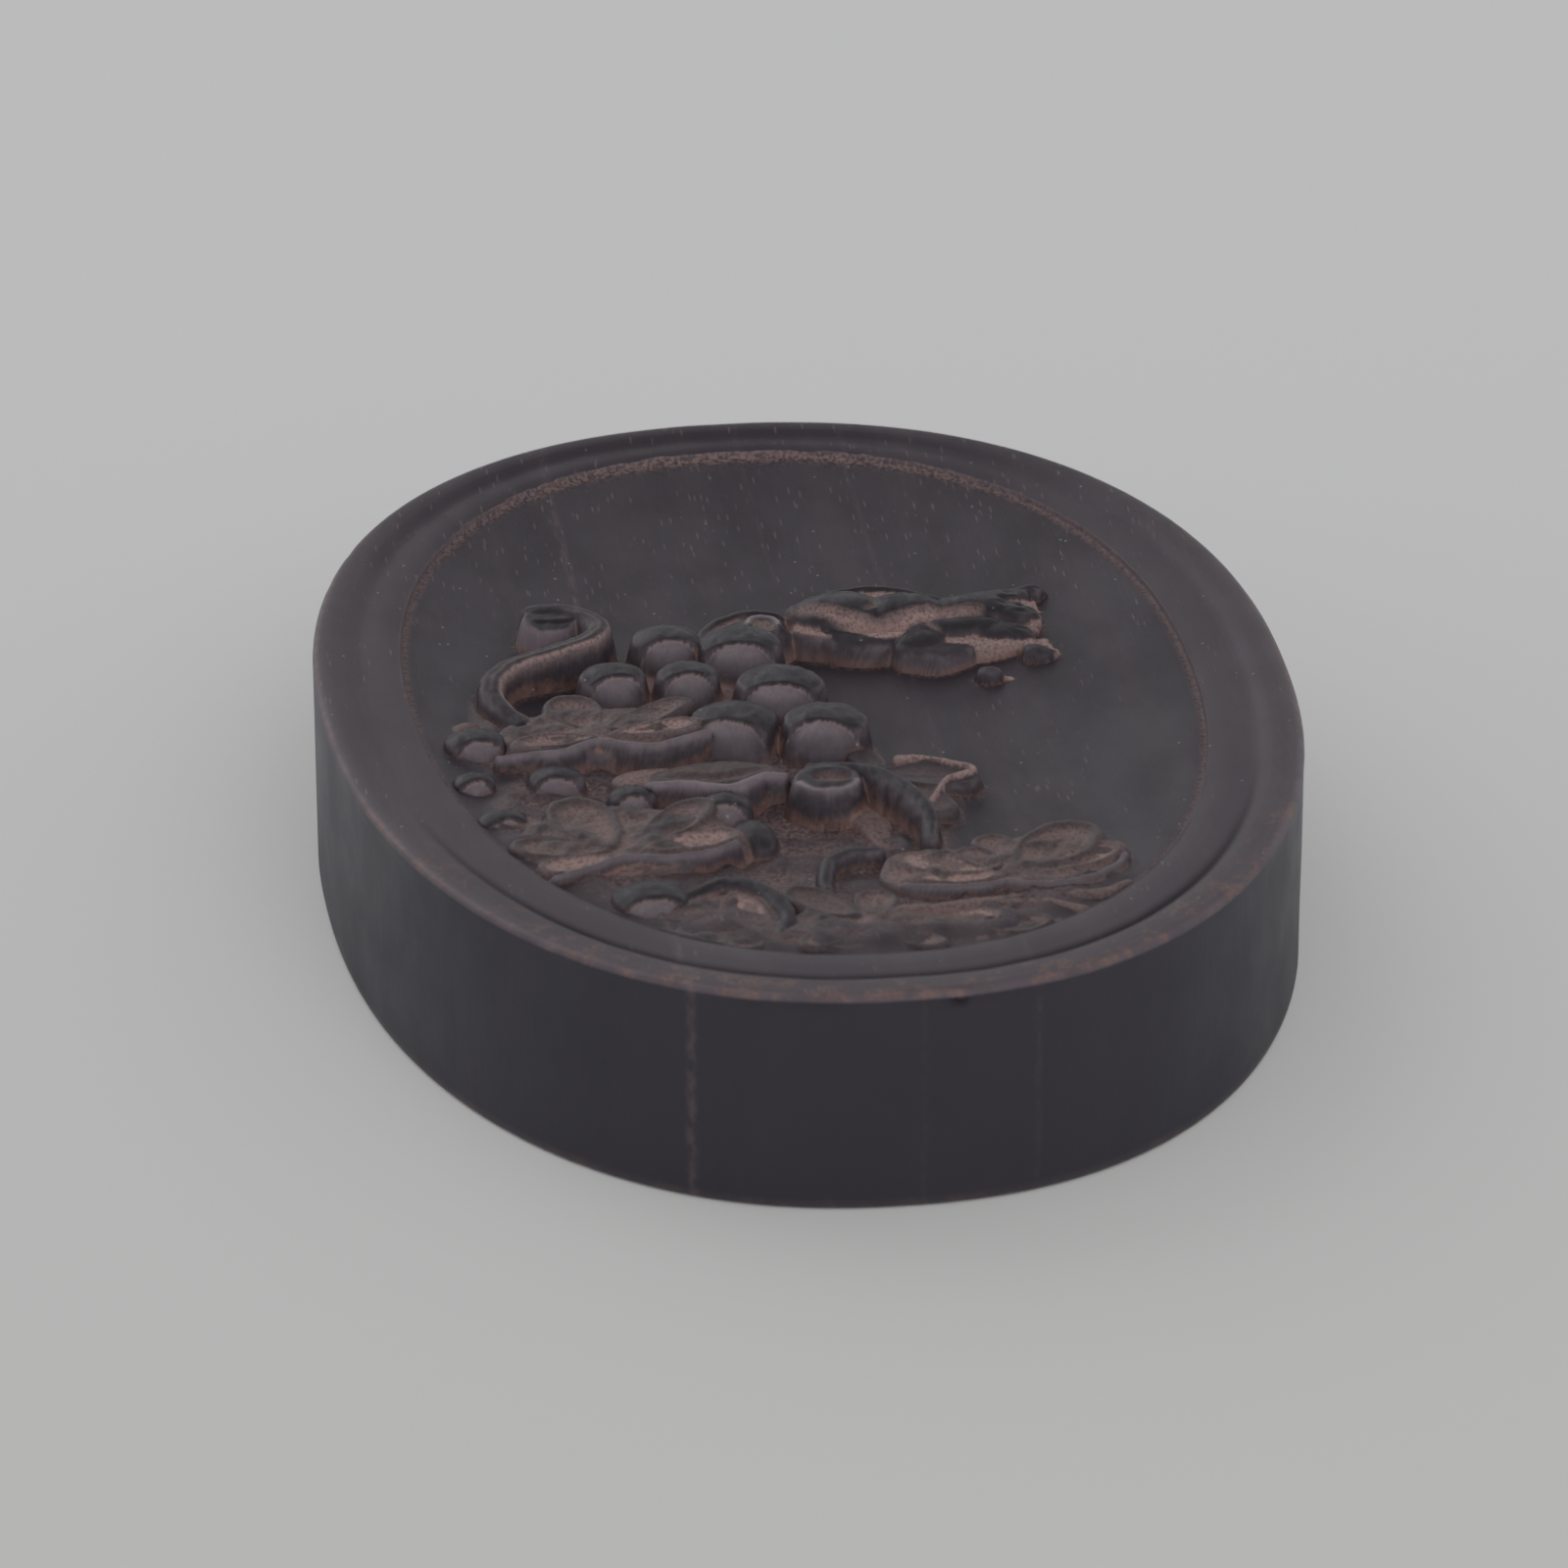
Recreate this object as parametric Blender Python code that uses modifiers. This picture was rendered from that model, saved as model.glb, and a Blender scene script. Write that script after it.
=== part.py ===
"""Oval carved block: a thick oval of dark dense wood with a raised rim, a dished field and a high relief
of a squirrel, a bunch of grapes, vine leaves and a curling tendril.

Metres, +Z up. The origin is the middle of the flat underside, +Y runs along the oval's long axis towards
the squirrel's end, and the grain of the wood runs the same way.
"""

import math

import bmesh
import bpy
from mathutils import Matrix, Vector

MM = 0.001

# Block: a superellipse a little wider towards +Y, with an upright wall.
WIDTH = 60.0 * MM
LENGTH = 84.5 * MM
THICKNESS = 13.8 * MM
ROUNDNESS = 2.23
EGG_FACTOR = 0.04
OUTLINE_STEPS = 80

# Field: the dished oval inside the rim. It sits a little nearer the squirrel's end.
FIELD_WIDTH = 48.6 * MM
FIELD_LENGTH = 74.0 * MM
FIELD_SHIFT_Y = 1.65 * MM
FIELD_EDGE_Z = 12.75 * MM
FIELD_CENTRE_Z = 10.6 * MM
FIELD_STEEPNESS = 3
FIELD_RINGS = 6

# Rim: height against the share of the way from the block's outline to the field's outline.
FOOT_CHAMFER = 0.35 * MM
RIM_PROFILE = (
    (0.00, THICKNESS - 0.30 * MM),
    (0.03, THICKNESS - 0.08 * MM),
    (0.12, THICKNESS),
    (0.30, THICKNESS - 0.12 * MM),
    (0.48, THICKNESS - 0.56 * MM),
    (0.75, THICKNESS - 0.58 * MM),
    (0.98, THICKNESS - 0.70 * MM),
)
BLOCK_SHARP_ANGLE = math.radians(30)

# Relief: its crowns reach the plane that the block's top was cut from.
RELIEF_TOP = 13.7 * MM
CARVING_GAP = 0.3 * MM
LEAF_TOP = 13.3 * MM
LOW_TOP = 13.0 * MM
DEPTH_BELOW_FIELD = 5.0 * MM
BERRY_SEGMENTS = 14
DOME_STEPS = 4
BLOB_SEGMENTS = 16
LOBE_POINTS = 6
LEAF_NOTCH = 0.34
RELIEF_SHARP_ANGLE = math.radians(35)
FLOOR_CUTTER_STRETCH = 1.06
WELD_DISTANCE = 0.01 * MM

DARK_WOOD = (0.040, 0.030, 0.030, 1.0)
WORN_WOOD = (0.075, 0.050, 0.045, 1.0)
WOOD_ROUGHNESS = 0.42


def clear_scene():
    for item in list(bpy.data.objects):
        bpy.data.objects.remove(item, do_unlink=True)


def make_collection(name):
    collection = bpy.data.collections.new(name)
    bpy.context.scene.collection.children.link(collection)
    return collection


def make_material(name, colour):
    material = bpy.data.materials.new(name)
    material.use_nodes = True
    shader = material.node_tree.nodes["Principled BSDF"]
    shader.inputs["Base Color"].default_value = colour
    shader.inputs["Roughness"].default_value = WOOD_ROUGHNESS
    shader.inputs["Metallic"].default_value = 0.0
    return material


def add_mesh_object(name, mesh, collection):
    item = bpy.data.objects.new(name, mesh)
    collection.objects.link(item)
    return item


def make_guide(item):
    item.hide_render = True
    item.display_type = "WIRE"
    return item


# ---------------------------------------------------------------- block

def oval_point(angle, half_x, half_y, centre_y):
    """A point on the superellipse, widened towards +Y by the egg factor."""
    power = 2.0 / ROUNDNESS
    c, s = math.cos(angle), math.sin(angle)
    x = math.copysign(abs(c) ** power, c)
    y = math.copysign(abs(s) ** power, s)
    return Vector((x * half_x * (1 + EGG_FACTOR * y), centre_y + y * half_y, 0.0))


def oval_ring(half_x, half_y, centre_y, z):
    turns = [2 * math.pi * step / OUTLINE_STEPS for step in range(OUTLINE_STEPS)]
    return [oval_point(turn, half_x, half_y, centre_y) + Vector((0, 0, z)) for turn in turns]


def rim_ring(share, z):
    """A ring part of the way from the block's outline (0) to the field's outline (1)."""
    outer = oval_ring(WIDTH / 2, LENGTH / 2, 0.0, z)
    inner = oval_ring(FIELD_WIDTH / 2, FIELD_LENGTH / 2, FIELD_SHIFT_Y, z)
    return [a.lerp(b, share) for a, b in zip(outer, inner)]


def field_height(share):
    """The dish: share is 0 in the middle and 1 at the field's edge."""
    return FIELD_CENTRE_Z + (FIELD_EDGE_Z - FIELD_CENTRE_Z) * share ** FIELD_STEEPNESS


def field_ring(share, lift=0.0, stretch=1.0):
    half_x = FIELD_WIDTH / 2 * share * stretch
    half_y = FIELD_LENGTH / 2 * share * stretch
    return oval_ring(half_x, half_y, FIELD_SHIFT_Y, field_height(share * stretch) + lift)


def loft(mesh_name, rings, last_point):
    """Skins a stack of equal rings, closes the first with one flat face and the last at a point."""
    shape = bmesh.new()
    loops = [[shape.verts.new(point) for point in ring] for ring in rings]
    count = len(loops[0])
    shape.faces.new(list(reversed(loops[0])))
    for low, high in zip(loops, loops[1:]):
        for k in range(count):
            shape.faces.new((low[k], low[(k + 1) % count], high[(k + 1) % count], high[k]))
    tip = shape.verts.new(last_point)
    for k in range(count):
        shape.faces.new((loops[-1][k], loops[-1][(k + 1) % count], tip))
    mesh = bpy.data.meshes.new(mesh_name)
    shape.to_mesh(mesh)
    shape.free()
    return mesh


def make_block(collection, material):
    inset = 1 - 2 * FOOT_CHAMFER / WIDTH
    rings = [
        oval_ring(WIDTH / 2 * inset, LENGTH / 2 * inset, 0.0, 0.0),
        oval_ring(WIDTH / 2, LENGTH / 2, 0.0, FOOT_CHAMFER),
    ]
    rings += [rim_ring(share, z) for share, z in RIM_PROFILE]
    rings += [field_ring(1 - step / FIELD_RINGS) for step in range(FIELD_RINGS)]
    centre = Vector((0, FIELD_SHIFT_Y, FIELD_CENTRE_Z))
    block = add_mesh_object("oval_block", loft("oval_block", rings, centre), collection)
    block.data.materials.append(material)
    block.data.shade_smooth()
    block.data.set_sharp_from_angle(angle=BLOCK_SHARP_ANGLE)
    return block


def make_floor_cutter(collection):
    """A solid that fills everything up to the carving gap above the dished field."""
    base_z = FIELD_CENTRE_Z - 2 * DEPTH_BELOW_FIELD
    half_x = FIELD_WIDTH / 2 * FLOOR_CUTTER_STRETCH
    half_y = FIELD_LENGTH / 2 * FLOOR_CUTTER_STRETCH
    rings = [oval_ring(half_x, half_y, FIELD_SHIFT_Y, base_z)]
    for step in range(FIELD_RINGS):
        rings.append(field_ring(1 - step / FIELD_RINGS, CARVING_GAP, FLOOR_CUTTER_STRETCH))
    centre = Vector((0, FIELD_SHIFT_Y, FIELD_CENTRE_Z + CARVING_GAP))
    return make_guide(add_mesh_object("floor_cutter", loft("floor_cutter", rings, centre), collection))


# ---------------------------------------------------------------- relief shapes

def at(x_mm, y_mm, z=0.0):
    return Vector((x_mm * MM, y_mm * MM, z))


def berry(name, x_mm, y_mm, radius_mm, top, guides):
    """A turned form: a dome on a straight wall that runs down past the field."""
    radius = radius_mm * MM
    shape = bmesh.new()
    angles = [math.pi / 2 * (1 - step / DOME_STEPS) for step in range(DOME_STEPS + 1)]
    points = [(radius * math.cos(a), radius * (math.sin(a) - 1)) for a in angles]
    points[0] = (0.0, 0.0)
    points += [(radius, -DEPTH_BELOW_FIELD), (0.0, -DEPTH_BELOW_FIELD)]
    verts = [shape.verts.new((x, 0.0, z)) for x, z in points]
    for first, second in zip(verts, verts[1:]):
        shape.edges.new((first, second))
    mesh = bpy.data.meshes.new(name)
    shape.to_mesh(mesh)
    shape.free()
    item = make_guide(add_mesh_object(name, mesh, guides))
    item.location = at(x_mm, y_mm, top)
    screw = item.modifiers.new("turn", "SCREW")
    screw.steps = BERRY_SEGMENTS
    screw.render_steps = BERRY_SEGMENTS
    screw.use_merge_vertices = True
    screw.merge_threshold = WELD_DISTANCE
    return item


def blob(name, centre_mm, radii_mm, top, guides, turn_deg=0.0):
    """An ellipsoid whose crown touches the given height."""
    shape = bmesh.new()
    bmesh.ops.create_uvsphere(shape, u_segments=BLOB_SEGMENTS, v_segments=BLOB_SEGMENTS // 2, radius=MM)
    size = Matrix.Diagonal((*radii_mm, 1.0))
    bmesh.ops.transform(shape, matrix=Matrix.Rotation(math.radians(turn_deg), 4, "Z") @ size, verts=shape.verts)
    mesh = bpy.data.meshes.new(name)
    shape.to_mesh(mesh)
    shape.free()
    item = make_guide(add_mesh_object(name, mesh, guides))
    item.location = at(*centre_mm, top - radii_mm[2] * MM)
    return item


def curve_to_mesh(name, curve, guides):
    """Turns a curve into a welded mesh object, because a Boolean takes only meshes."""
    source = add_mesh_object(name + "_curve", curve, guides)
    bpy.context.view_layer.update()
    evaluated = source.evaluated_get(bpy.context.evaluated_depsgraph_get())
    mesh = bpy.data.meshes.new_from_object(evaluated)
    shape = bmesh.new()
    shape.from_mesh(mesh)
    bmesh.ops.remove_doubles(shape, verts=shape.verts, dist=WELD_DISTANCE)
    bmesh.ops.recalc_face_normals(shape, faces=shape.faces)
    shape.to_mesh(mesh)
    shape.free()
    item = make_guide(add_mesh_object(name, mesh, guides))
    item.matrix_world = source.matrix_world.copy()
    bpy.data.objects.remove(source)
    return item


def leaf(name, centre_mm, half_mm, lobes, turn_deg, top, guides, notch=LEAF_NOTCH):
    """A flat slab with pointed lobes: the outline falls from each tip into a rounded notch."""
    curve = bpy.data.curves.new(name, "CURVE")
    curve.dimensions = "2D"
    curve.fill_mode = "BOTH"
    curve.extrude = DEPTH_BELOW_FIELD / 2
    curve.render_resolution_u = 0
    count = lobes * LOBE_POINTS
    spline = curve.splines.new("POLY")
    spline.points.add(count - 1)
    spline.use_cyclic_u = True
    for k, point in enumerate(spline.points):
        angle = 2 * math.pi * k / count
        from_tip = abs((lobes * angle / math.pi + 1) % 2 - 1)
        reach = 1 - notch * math.sin(from_tip * math.pi / 2)
        heading = angle + math.radians(turn_deg)
        x = half_mm[0] * MM * reach * math.cos(heading)
        y = half_mm[1] * MM * reach * math.sin(heading)
        point.co = (x, y, 0.0, 1.0)
    item = curve_to_mesh(name, curve, guides)
    item.location = at(*centre_mm, top - DEPTH_BELOW_FIELD / 2)
    return item


def ribbon(name, path_mm, width_mm, top, guides):
    """An upright band with rounded edges that follows a path and runs down past the field."""
    curve = bpy.data.curves.new(name, "CURVE")
    curve.dimensions = "2D"
    curve.fill_mode = "NONE"
    curve.bevel_depth = width_mm / 2 * MM
    curve.bevel_resolution = 1
    curve.extrude = DEPTH_BELOW_FIELD / 2
    curve.use_fill_caps = True
    curve.resolution_u = 3
    curve.render_resolution_u = 0
    spline = curve.splines.new("NURBS")
    spline.points.add(len(path_mm) - 1)
    spline.use_endpoint_u = True
    spline.order_u = 3
    for point, (x_mm, y_mm) in zip(spline.points, path_mm):
        point.co = (x_mm * MM, y_mm * MM, 0.0, 1.0)
    item = curve_to_mesh(name, curve, guides)
    item.location = (0, 0, top - DEPTH_BELOW_FIELD / 2 - width_mm / 2 * MM)
    return item


def add_boolean(item, operation, other):
    boolean = item.modifiers.new(operation.lower(), "BOOLEAN")
    boolean.operation = operation
    boolean.solver = "EXACT"
    boolean.object = other


def carve(name, shapes, floor, collection, material):
    """Joins a motif's shapes into one solid and trims it to the field."""
    first = shapes[0]
    for other in shapes[1:]:
        add_boolean(first, "UNION", other)
    add_boolean(first, "DIFFERENCE", floor)
    bpy.context.view_layer.update()
    evaluated = first.evaluated_get(bpy.context.evaluated_depsgraph_get())
    mesh = bpy.data.meshes.new_from_object(evaluated)
    mesh.transform(first.matrix_world)
    mesh.materials.clear()
    mesh.materials.append(material)
    for other in shapes:
        bpy.data.objects.remove(other)
    item = add_mesh_object(name, mesh, collection)
    item.data.shade_smooth()
    item.data.set_sharp_from_angle(angle=RELIEF_SHARP_ANGLE)
    return item


# ---------------------------------------------------------------- motifs

def make_squirrel(floor, guides, collection, material):
    body = [
        blob("haunch", (4.4, 12.6), (4.4, 3.9, 4.2), RELIEF_TOP, guides),
        blob("back", (8.8, 12.2), (4.2, 3.6, 4.0), RELIEF_TOP - 0.3 * MM, guides),
        blob("head", (-1.4, 12.6), (2.9, 2.1, 3.4), RELIEF_TOP - 0.2 * MM, guides, 15),
        blob("muzzle", (-4.3, 12.1), (1.6, 1.2, 2.6), LEAF_TOP - 0.6 * MM, guides),
        blob("tail_root", (12.6, 12.2), (3.3, 3.3, 3.6), RELIEF_TOP - 0.4 * MM, guides),
        blob("tail_tip", (15.9, 15.0), (1.9, 2.2, 3.0), LEAF_TOP, guides, -30),
        blob("hind_leg", (9.0, 8.8), (2.1, 2.2, 3.0), LEAF_TOP - 0.3 * MM, guides),
        blob("foot", (12.6, 8.8), (3.0, 1.8, 2.4), LOW_TOP, guides),
        blob("toes", (15.6, 7.6), (1.2, 1.5, 1.9), LOW_TOP - 0.2 * MM, guides),
    ]
    carve("squirrel", body, floor, collection, material)


def make_tendril(floor, guides, collection, material):
    path = [(-14.8, 14.2), (-12.9, 14.2), (-11.3, 12.0), (-12.2, 9.4), (-15.2, 8.1)]
    path += [(-18.4, 6.6), (-19.5, 3.6), (-19.2, 1.6)]
    shapes = [
        ribbon("tendril_band", path, 1.4, RELIEF_TOP, guides),
        berry("tendril_end", -14.5, 13.8, 1.1, RELIEF_TOP - 0.1 * MM, guides),
    ]
    carve("vine_tendril", shapes, floor, collection, material)


def make_grapes(floor, guides, collection, material):
    """The hanging bunch: seven berries that stand on a low mound."""
    berries = [
        (-7.7, 8.8, 2.0), (-3.0, 7.9, 2.2), (-11.4, 4.6, 1.8), (-6.9, 3.6, 1.9),
        (-1.6, 2.2, 2.3), (-4.6, -2.2, 2.2), (0.5, -3.6, 2.2),
    ]
    shapes = [
        blob("mound", (-4.6, 2.9), (9.6, 5.2, 5.0), LOW_TOP - 0.4 * MM, guides, -52),
        blob("mound_side", (-9.6, 4.6), (2.6, 1.6, 3.0), LOW_TOP - 0.4 * MM, guides),
    ]
    shapes += [berry(f"berry_{k}", x, y, r, RELIEF_TOP, guides) for k, (x, y, r) in enumerate(berries)]
    carve("grape_bunch", shapes, floor, collection, material)


def make_side_grapes(floor, guides, collection, material):
    """Small berries that show between the leaves beside the rim."""
    berries = [(-20.9, -3.4, 1.4), (-21.4, -9.0, 1.3), (-16.4, -9.0, 1.2), (-12.2, -10.6, 1.3)]
    for k, (x, y, r) in enumerate(berries, start=1):
        name = f"side_grape_{k}"
        carve(name, [berry(name + "_dome", x, y, r, LEAF_TOP, guides)], floor, collection, material)


def make_leaves(floor, guides, collection, material):
    """Vine leaves, each a lobed slab: name, centre, half sizes, lobes, turn, top."""
    leaves = [
        ("upper_leaf", (-13.6, -2.9), (6.4, 4.4), 5, 90, LEAF_TOP),
        ("lower_leaf", (-13.6, -17.8), (7.0, 6.0), 5, 90, LEAF_TOP),
        ("right_leaf", (11.6, -23.6), (5.4, 5.0), 5, 60, LEAF_TOP),
        ("middle_leaf", (4.2, -24.4), (3.3, 3.6), 5, 90, LOW_TOP),
        ("pointed_leaf", (6.9, -9.6), (2.2, 4.2), 4, 0, LOW_TOP - 0.6 * MM),
        ("bottom_leaf", (-8.3, -26.3), (4.4, 4.1), 5, 75, LOW_TOP),
        ("front_leaf", (0.2, -31.4), (6.2, 3.2), 5, 90, LOW_TOP),
    ]
    for name, centre, half, lobes, turn, top in leaves:
        slab = leaf(name + "_slab", centre, half, lobes, turn, top, guides)
        carve(name, [slab], floor, collection, material)


def make_curled_leaf(floor, guides, collection, material):
    """A leaf rolled round a stub: an upright stub and the leaf's edge as a band round its right side."""
    path = [(-0.4, -9.9), (2.2, -11.0), (3.9, -14.0), (4.6, -17.0), (4.5, -19.4)]
    shapes = [
        leaf("rolled_base", (1.4, -13.6), (4.0, 3.4), 3, 180, LOW_TOP - 1.0 * MM, guides, 0.15),
        berry("rolled_stub", -0.5, -12.6, 2.1, RELIEF_TOP, guides),
        ribbon("leaf_edge", path, 1.3, RELIEF_TOP, guides),
    ]
    carve("curled_leaf", shapes, floor, collection, material)


def make_lower_details(floor, guides, collection, material):
    """The short hooked tendril, the fold between the leaves and the lowest berry."""
    hook = [(-2.3, -26.0), (-2.2, -23.0), (-0.7, -21.2), (0.9, -21.2)]
    fold = [(-9.4, -11.3), (-7.4, -12.0), (-5.6, -12.3), (-3.6, -11.2)]
    carve("hooked_tendril", [ribbon("hook_band", hook, 1.1, LOW_TOP, guides)], floor, collection, material)
    carve("leaf_fold", [ribbon("fold_band", fold, 1.3, LEAF_TOP, guides)], floor, collection, material)
    low = [berry("low_dome", -14.1, -26.0, 1.9, LEAF_TOP, guides)]
    carve("lowest_grape", low, floor, collection, material)


def main():
    clear_scene()
    collection = make_collection("oval_carved_block")
    guides = make_collection("cutters_and_guides")
    dark = make_material("dark_wood", DARK_WOOD)
    worn = make_material("worn_wood", WORN_WOOD)
    make_block(collection, dark)
    floor = make_floor_cutter(guides)
    for make_motif in (make_squirrel, make_tendril, make_grapes, make_side_grapes, make_leaves,
                       make_curled_leaf, make_lower_details):
        make_motif(floor, guides, collection, worn)


main()
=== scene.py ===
import math

import bpy
import numpy as np
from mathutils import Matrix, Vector


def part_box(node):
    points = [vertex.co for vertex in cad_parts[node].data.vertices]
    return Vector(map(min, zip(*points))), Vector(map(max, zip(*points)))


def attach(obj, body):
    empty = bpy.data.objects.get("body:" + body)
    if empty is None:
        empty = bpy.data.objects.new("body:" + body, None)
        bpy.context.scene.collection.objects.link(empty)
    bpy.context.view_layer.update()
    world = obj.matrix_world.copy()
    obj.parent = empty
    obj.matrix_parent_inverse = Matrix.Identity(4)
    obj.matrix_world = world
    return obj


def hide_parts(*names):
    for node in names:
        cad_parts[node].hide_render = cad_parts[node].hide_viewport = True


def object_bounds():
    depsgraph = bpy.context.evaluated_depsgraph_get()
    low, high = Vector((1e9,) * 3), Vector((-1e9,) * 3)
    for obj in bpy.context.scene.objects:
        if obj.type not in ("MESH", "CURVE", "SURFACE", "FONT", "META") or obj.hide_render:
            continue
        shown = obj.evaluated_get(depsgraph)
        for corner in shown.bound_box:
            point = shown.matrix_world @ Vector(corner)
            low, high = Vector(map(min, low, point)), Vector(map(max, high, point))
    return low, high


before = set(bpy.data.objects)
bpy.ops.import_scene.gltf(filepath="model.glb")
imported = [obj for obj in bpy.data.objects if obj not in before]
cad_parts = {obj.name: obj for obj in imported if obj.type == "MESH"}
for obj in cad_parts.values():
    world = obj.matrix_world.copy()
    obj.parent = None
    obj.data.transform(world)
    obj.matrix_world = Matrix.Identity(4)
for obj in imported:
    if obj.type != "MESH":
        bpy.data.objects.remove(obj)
CAD_LOW, CAD_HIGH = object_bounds()

# Lengths in this script are in millimetres, and meshes are written in metres.
MM = 0.001
GRID = 0.10
TOP = CAD_HIGH.z / MM
HALF_X = (CAD_HIGH.x - CAD_LOW.x) / 2 / MM
HALF_Y = (CAD_HIGH.y - CAD_LOW.y) / 2 / MM

# The block's outline and the dish, as the CAD block has them.
ROUNDNESS = 2.23
EGG = 0.04
# With the egg shape, the widest place is this many times as wide as the middle.
EGG_BULGE = 1.0013
HALF_X_MID = HALF_X / EGG_BULGE
FIELD_HALF_X = 24.3
FIELD_HALF_Y = 37.0
FIELD_SHIFT_Y = 1.65
FIELD_EDGE_Z = TOP - 1.05
FIELD_CENTRE_Z = TOP - 3.2
FIELD_STEEPNESS = 3
# The carving's walls, the width of the painted highlight line along a leaf's lip, and the depth of a leaf's
# soft folds.
WALL_SLOPE = 5.0
PAINTED_HIGHLIGHT_WIDTH = 0.08
FOLD_DEPTH = 0.22
# How far a motif's body reaches down into the block, and how far below the ground its top is cut off.
SINK = 0.8
CUT_OFF = 0.45
DEEP = -99.0


# ---------------------------------------------------------------- noise and grids

def hash_noise(ix, iy, seed):
    """A repeatable random value in 0..1 for whole-number cells."""
    n = (ix * 374761393 + iy * 668265263 + seed * 974634777) & 0x7FFFFFFF
    n = ((n ^ (n >> 13)) * 1274126177) & 0x7FFFFFFF
    return ((n ^ (n >> 16)) & 0xFFFF) / 65535.0


def noise(x, y, size_x, size_y, seed):
    """Smooth value noise in -1..1 with cells of the given size."""
    u, v = np.asarray(x) / size_x, np.asarray(y) / size_y
    iu, iv = np.floor(u).astype(np.int64), np.floor(v).astype(np.int64)
    fu, fv = u - iu, v - iv
    fu, fv = fu * fu * (3 - 2 * fu), fv * fv * (3 - 2 * fv)
    low = hash_noise(iu, iv, seed) * (1 - fu) + hash_noise(iu + 1, iv, seed) * fu
    high = hash_noise(iu, iv + 1, seed) * (1 - fu) + hash_noise(iu + 1, iv + 1, seed) * fu
    return (low * (1 - fv) + high * fv) * 2 - 1


def blur(field, sigma):
    """Gaussian blur of a grid by a separable kernel; sigma in cells."""
    reach = max(1, int(math.ceil(sigma * 3)))
    kernel = np.exp(-0.5 * (np.arange(-reach, reach + 1) / sigma) ** 2)
    kernel /= kernel.sum()
    for axis in (0, 1):
        pad = [(reach, reach) if k == axis else (0, 0) for k in (0, 1)]
        wide = np.pad(field, pad, mode="edge")
        size = field.shape[axis]
        out = np.zeros_like(field)
        for k, weight in enumerate(kernel):
            out += weight * np.take(wide, np.arange(k, k + size), axis=axis)
        field = out
    return field


class Area:
    """A rectangular grid of points, in millimetres."""

    def __init__(self, low_x, high_x, low_y, high_y):
        self.x = np.arange(low_x, high_x + GRID / 2, GRID)
        self.y = np.arange(low_y, high_y + GRID / 2, GRID)
        self.X, self.Y = np.meshgrid(self.x, self.y)

    def sample(self, field, x, y):
        """Bilinear read of a grid at any points."""
        u = np.clip((x - self.x[0]) / GRID, 0, len(self.x) - 1.001)
        v = np.clip((y - self.y[0]) / GRID, 0, len(self.y) - 1.001)
        iu, iv = u.astype(int), v.astype(int)
        fu, fv = u - iu, v - iv
        low = field[iv, iu] * (1 - fu) + field[iv, iu + 1] * fu
        high = field[iv + 1, iu] * (1 - fu) + field[iv + 1, iu + 1] * fu
        return low * (1 - fv) + high * fv


# ---------------------------------------------------------------- carving shapes
# A form is three grids in one: height in millimetres, how raw the wood is (lighter, satin, never polished),
# which also carries painted highlight lines on leaf lips and painted shade on grape faces, and how warm it is
# (brown and dusty).
# A drop is how far a shape lies below the block's top.

def form(height, rawness_and_painted_light=0.0, warm=0.0):
    return np.stack(np.broadcast_arrays(height, rawness_and_painted_light, warm))


def highest(*forms):
    """Joins forms: each point takes the form that stands highest there."""
    out = forms[0]
    for other in forms[1:]:
        out = np.where(other[0] > out[0], other, out)
    return out


def turned(x, y, centre, degrees):
    c, s = math.cos(math.radians(degrees)), math.sin(math.radians(degrees))
    dx, dy = x - centre[0], y - centre[1]
    return dx * c + dy * s, dy * c - dx * s


def dome(x, y, centre, radii, drop, turn=0.0, rise=1.0, fullness=2.3, rawness_and_painted_light=0.0, warm=0.0):
    """A lump, an ellipse in plan. Its crown falls by rise and can be warm, its steep flank can be raw."""
    top = TOP - drop
    u, v = turned(x, y, centre, turn)
    rho = np.sqrt((u / radii[0]) ** 2 + (v / radii[1]) ** 2)
    crown = top - rise * (1 - np.sqrt(np.clip(1 - rho ** fullness, 0, None)))
    flank = top - rise - (rho - 1) * min(radii) * WALL_SLOPE
    wall = np.clip((rho - 0.93) / 0.07, 0, 1)
    return form(np.where(rho < 1, crown, flank), rawness_and_painted_light * wall, warm * (1 - wall))


def berry(x, y, centre, radius, drop, lean=0.0):
    """A grape: a polished cap at the back, and a rounder raw face cut in under it at the front, painted paler
    in its middle and darker towards its base and sides as painted shade.
    """
    top = TOP - drop
    u, v = turned(x, y, centre, lean)
    rho = np.hypot(u, v) / radius
    long_rho = np.hypot(u, np.where(v < 0, v / 1.15, v)) / radius
    body = top - 0.16 - 2.6 * (1 - np.clip(1 - (long_rho / 1.14) ** 3.0, 0, 1) ** 0.6)
    body = body - np.clip(long_rho - 1.12, 0, None) * radius * WALL_SLOPE
    cap = top - 0.50 * np.clip(rho, 0, 1) ** 2.6 - np.clip(rho - 0.98, 0, None) * radius * WALL_SLOPE
    brim = (v / radius + 0.36 + 0.30 * (u / radius) ** 2) * radius
    cap = cap - np.clip(-brim, 0, None) * 4.0
    # Painted shade: the face's pale value fades from its middle towards its base and sides.
    face = np.clip(0.5 - brim / 0.25, 0, 1) * np.clip(1.5 - 1.35 * long_rho, 0.10, 0.58)
    seam = np.exp(-((brim + 0.10) / 0.10) ** 2) * (rho < 1.05)
    return highest(form(body - 0.10 * seam, face, 0.7 * seam), form(cap))


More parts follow.
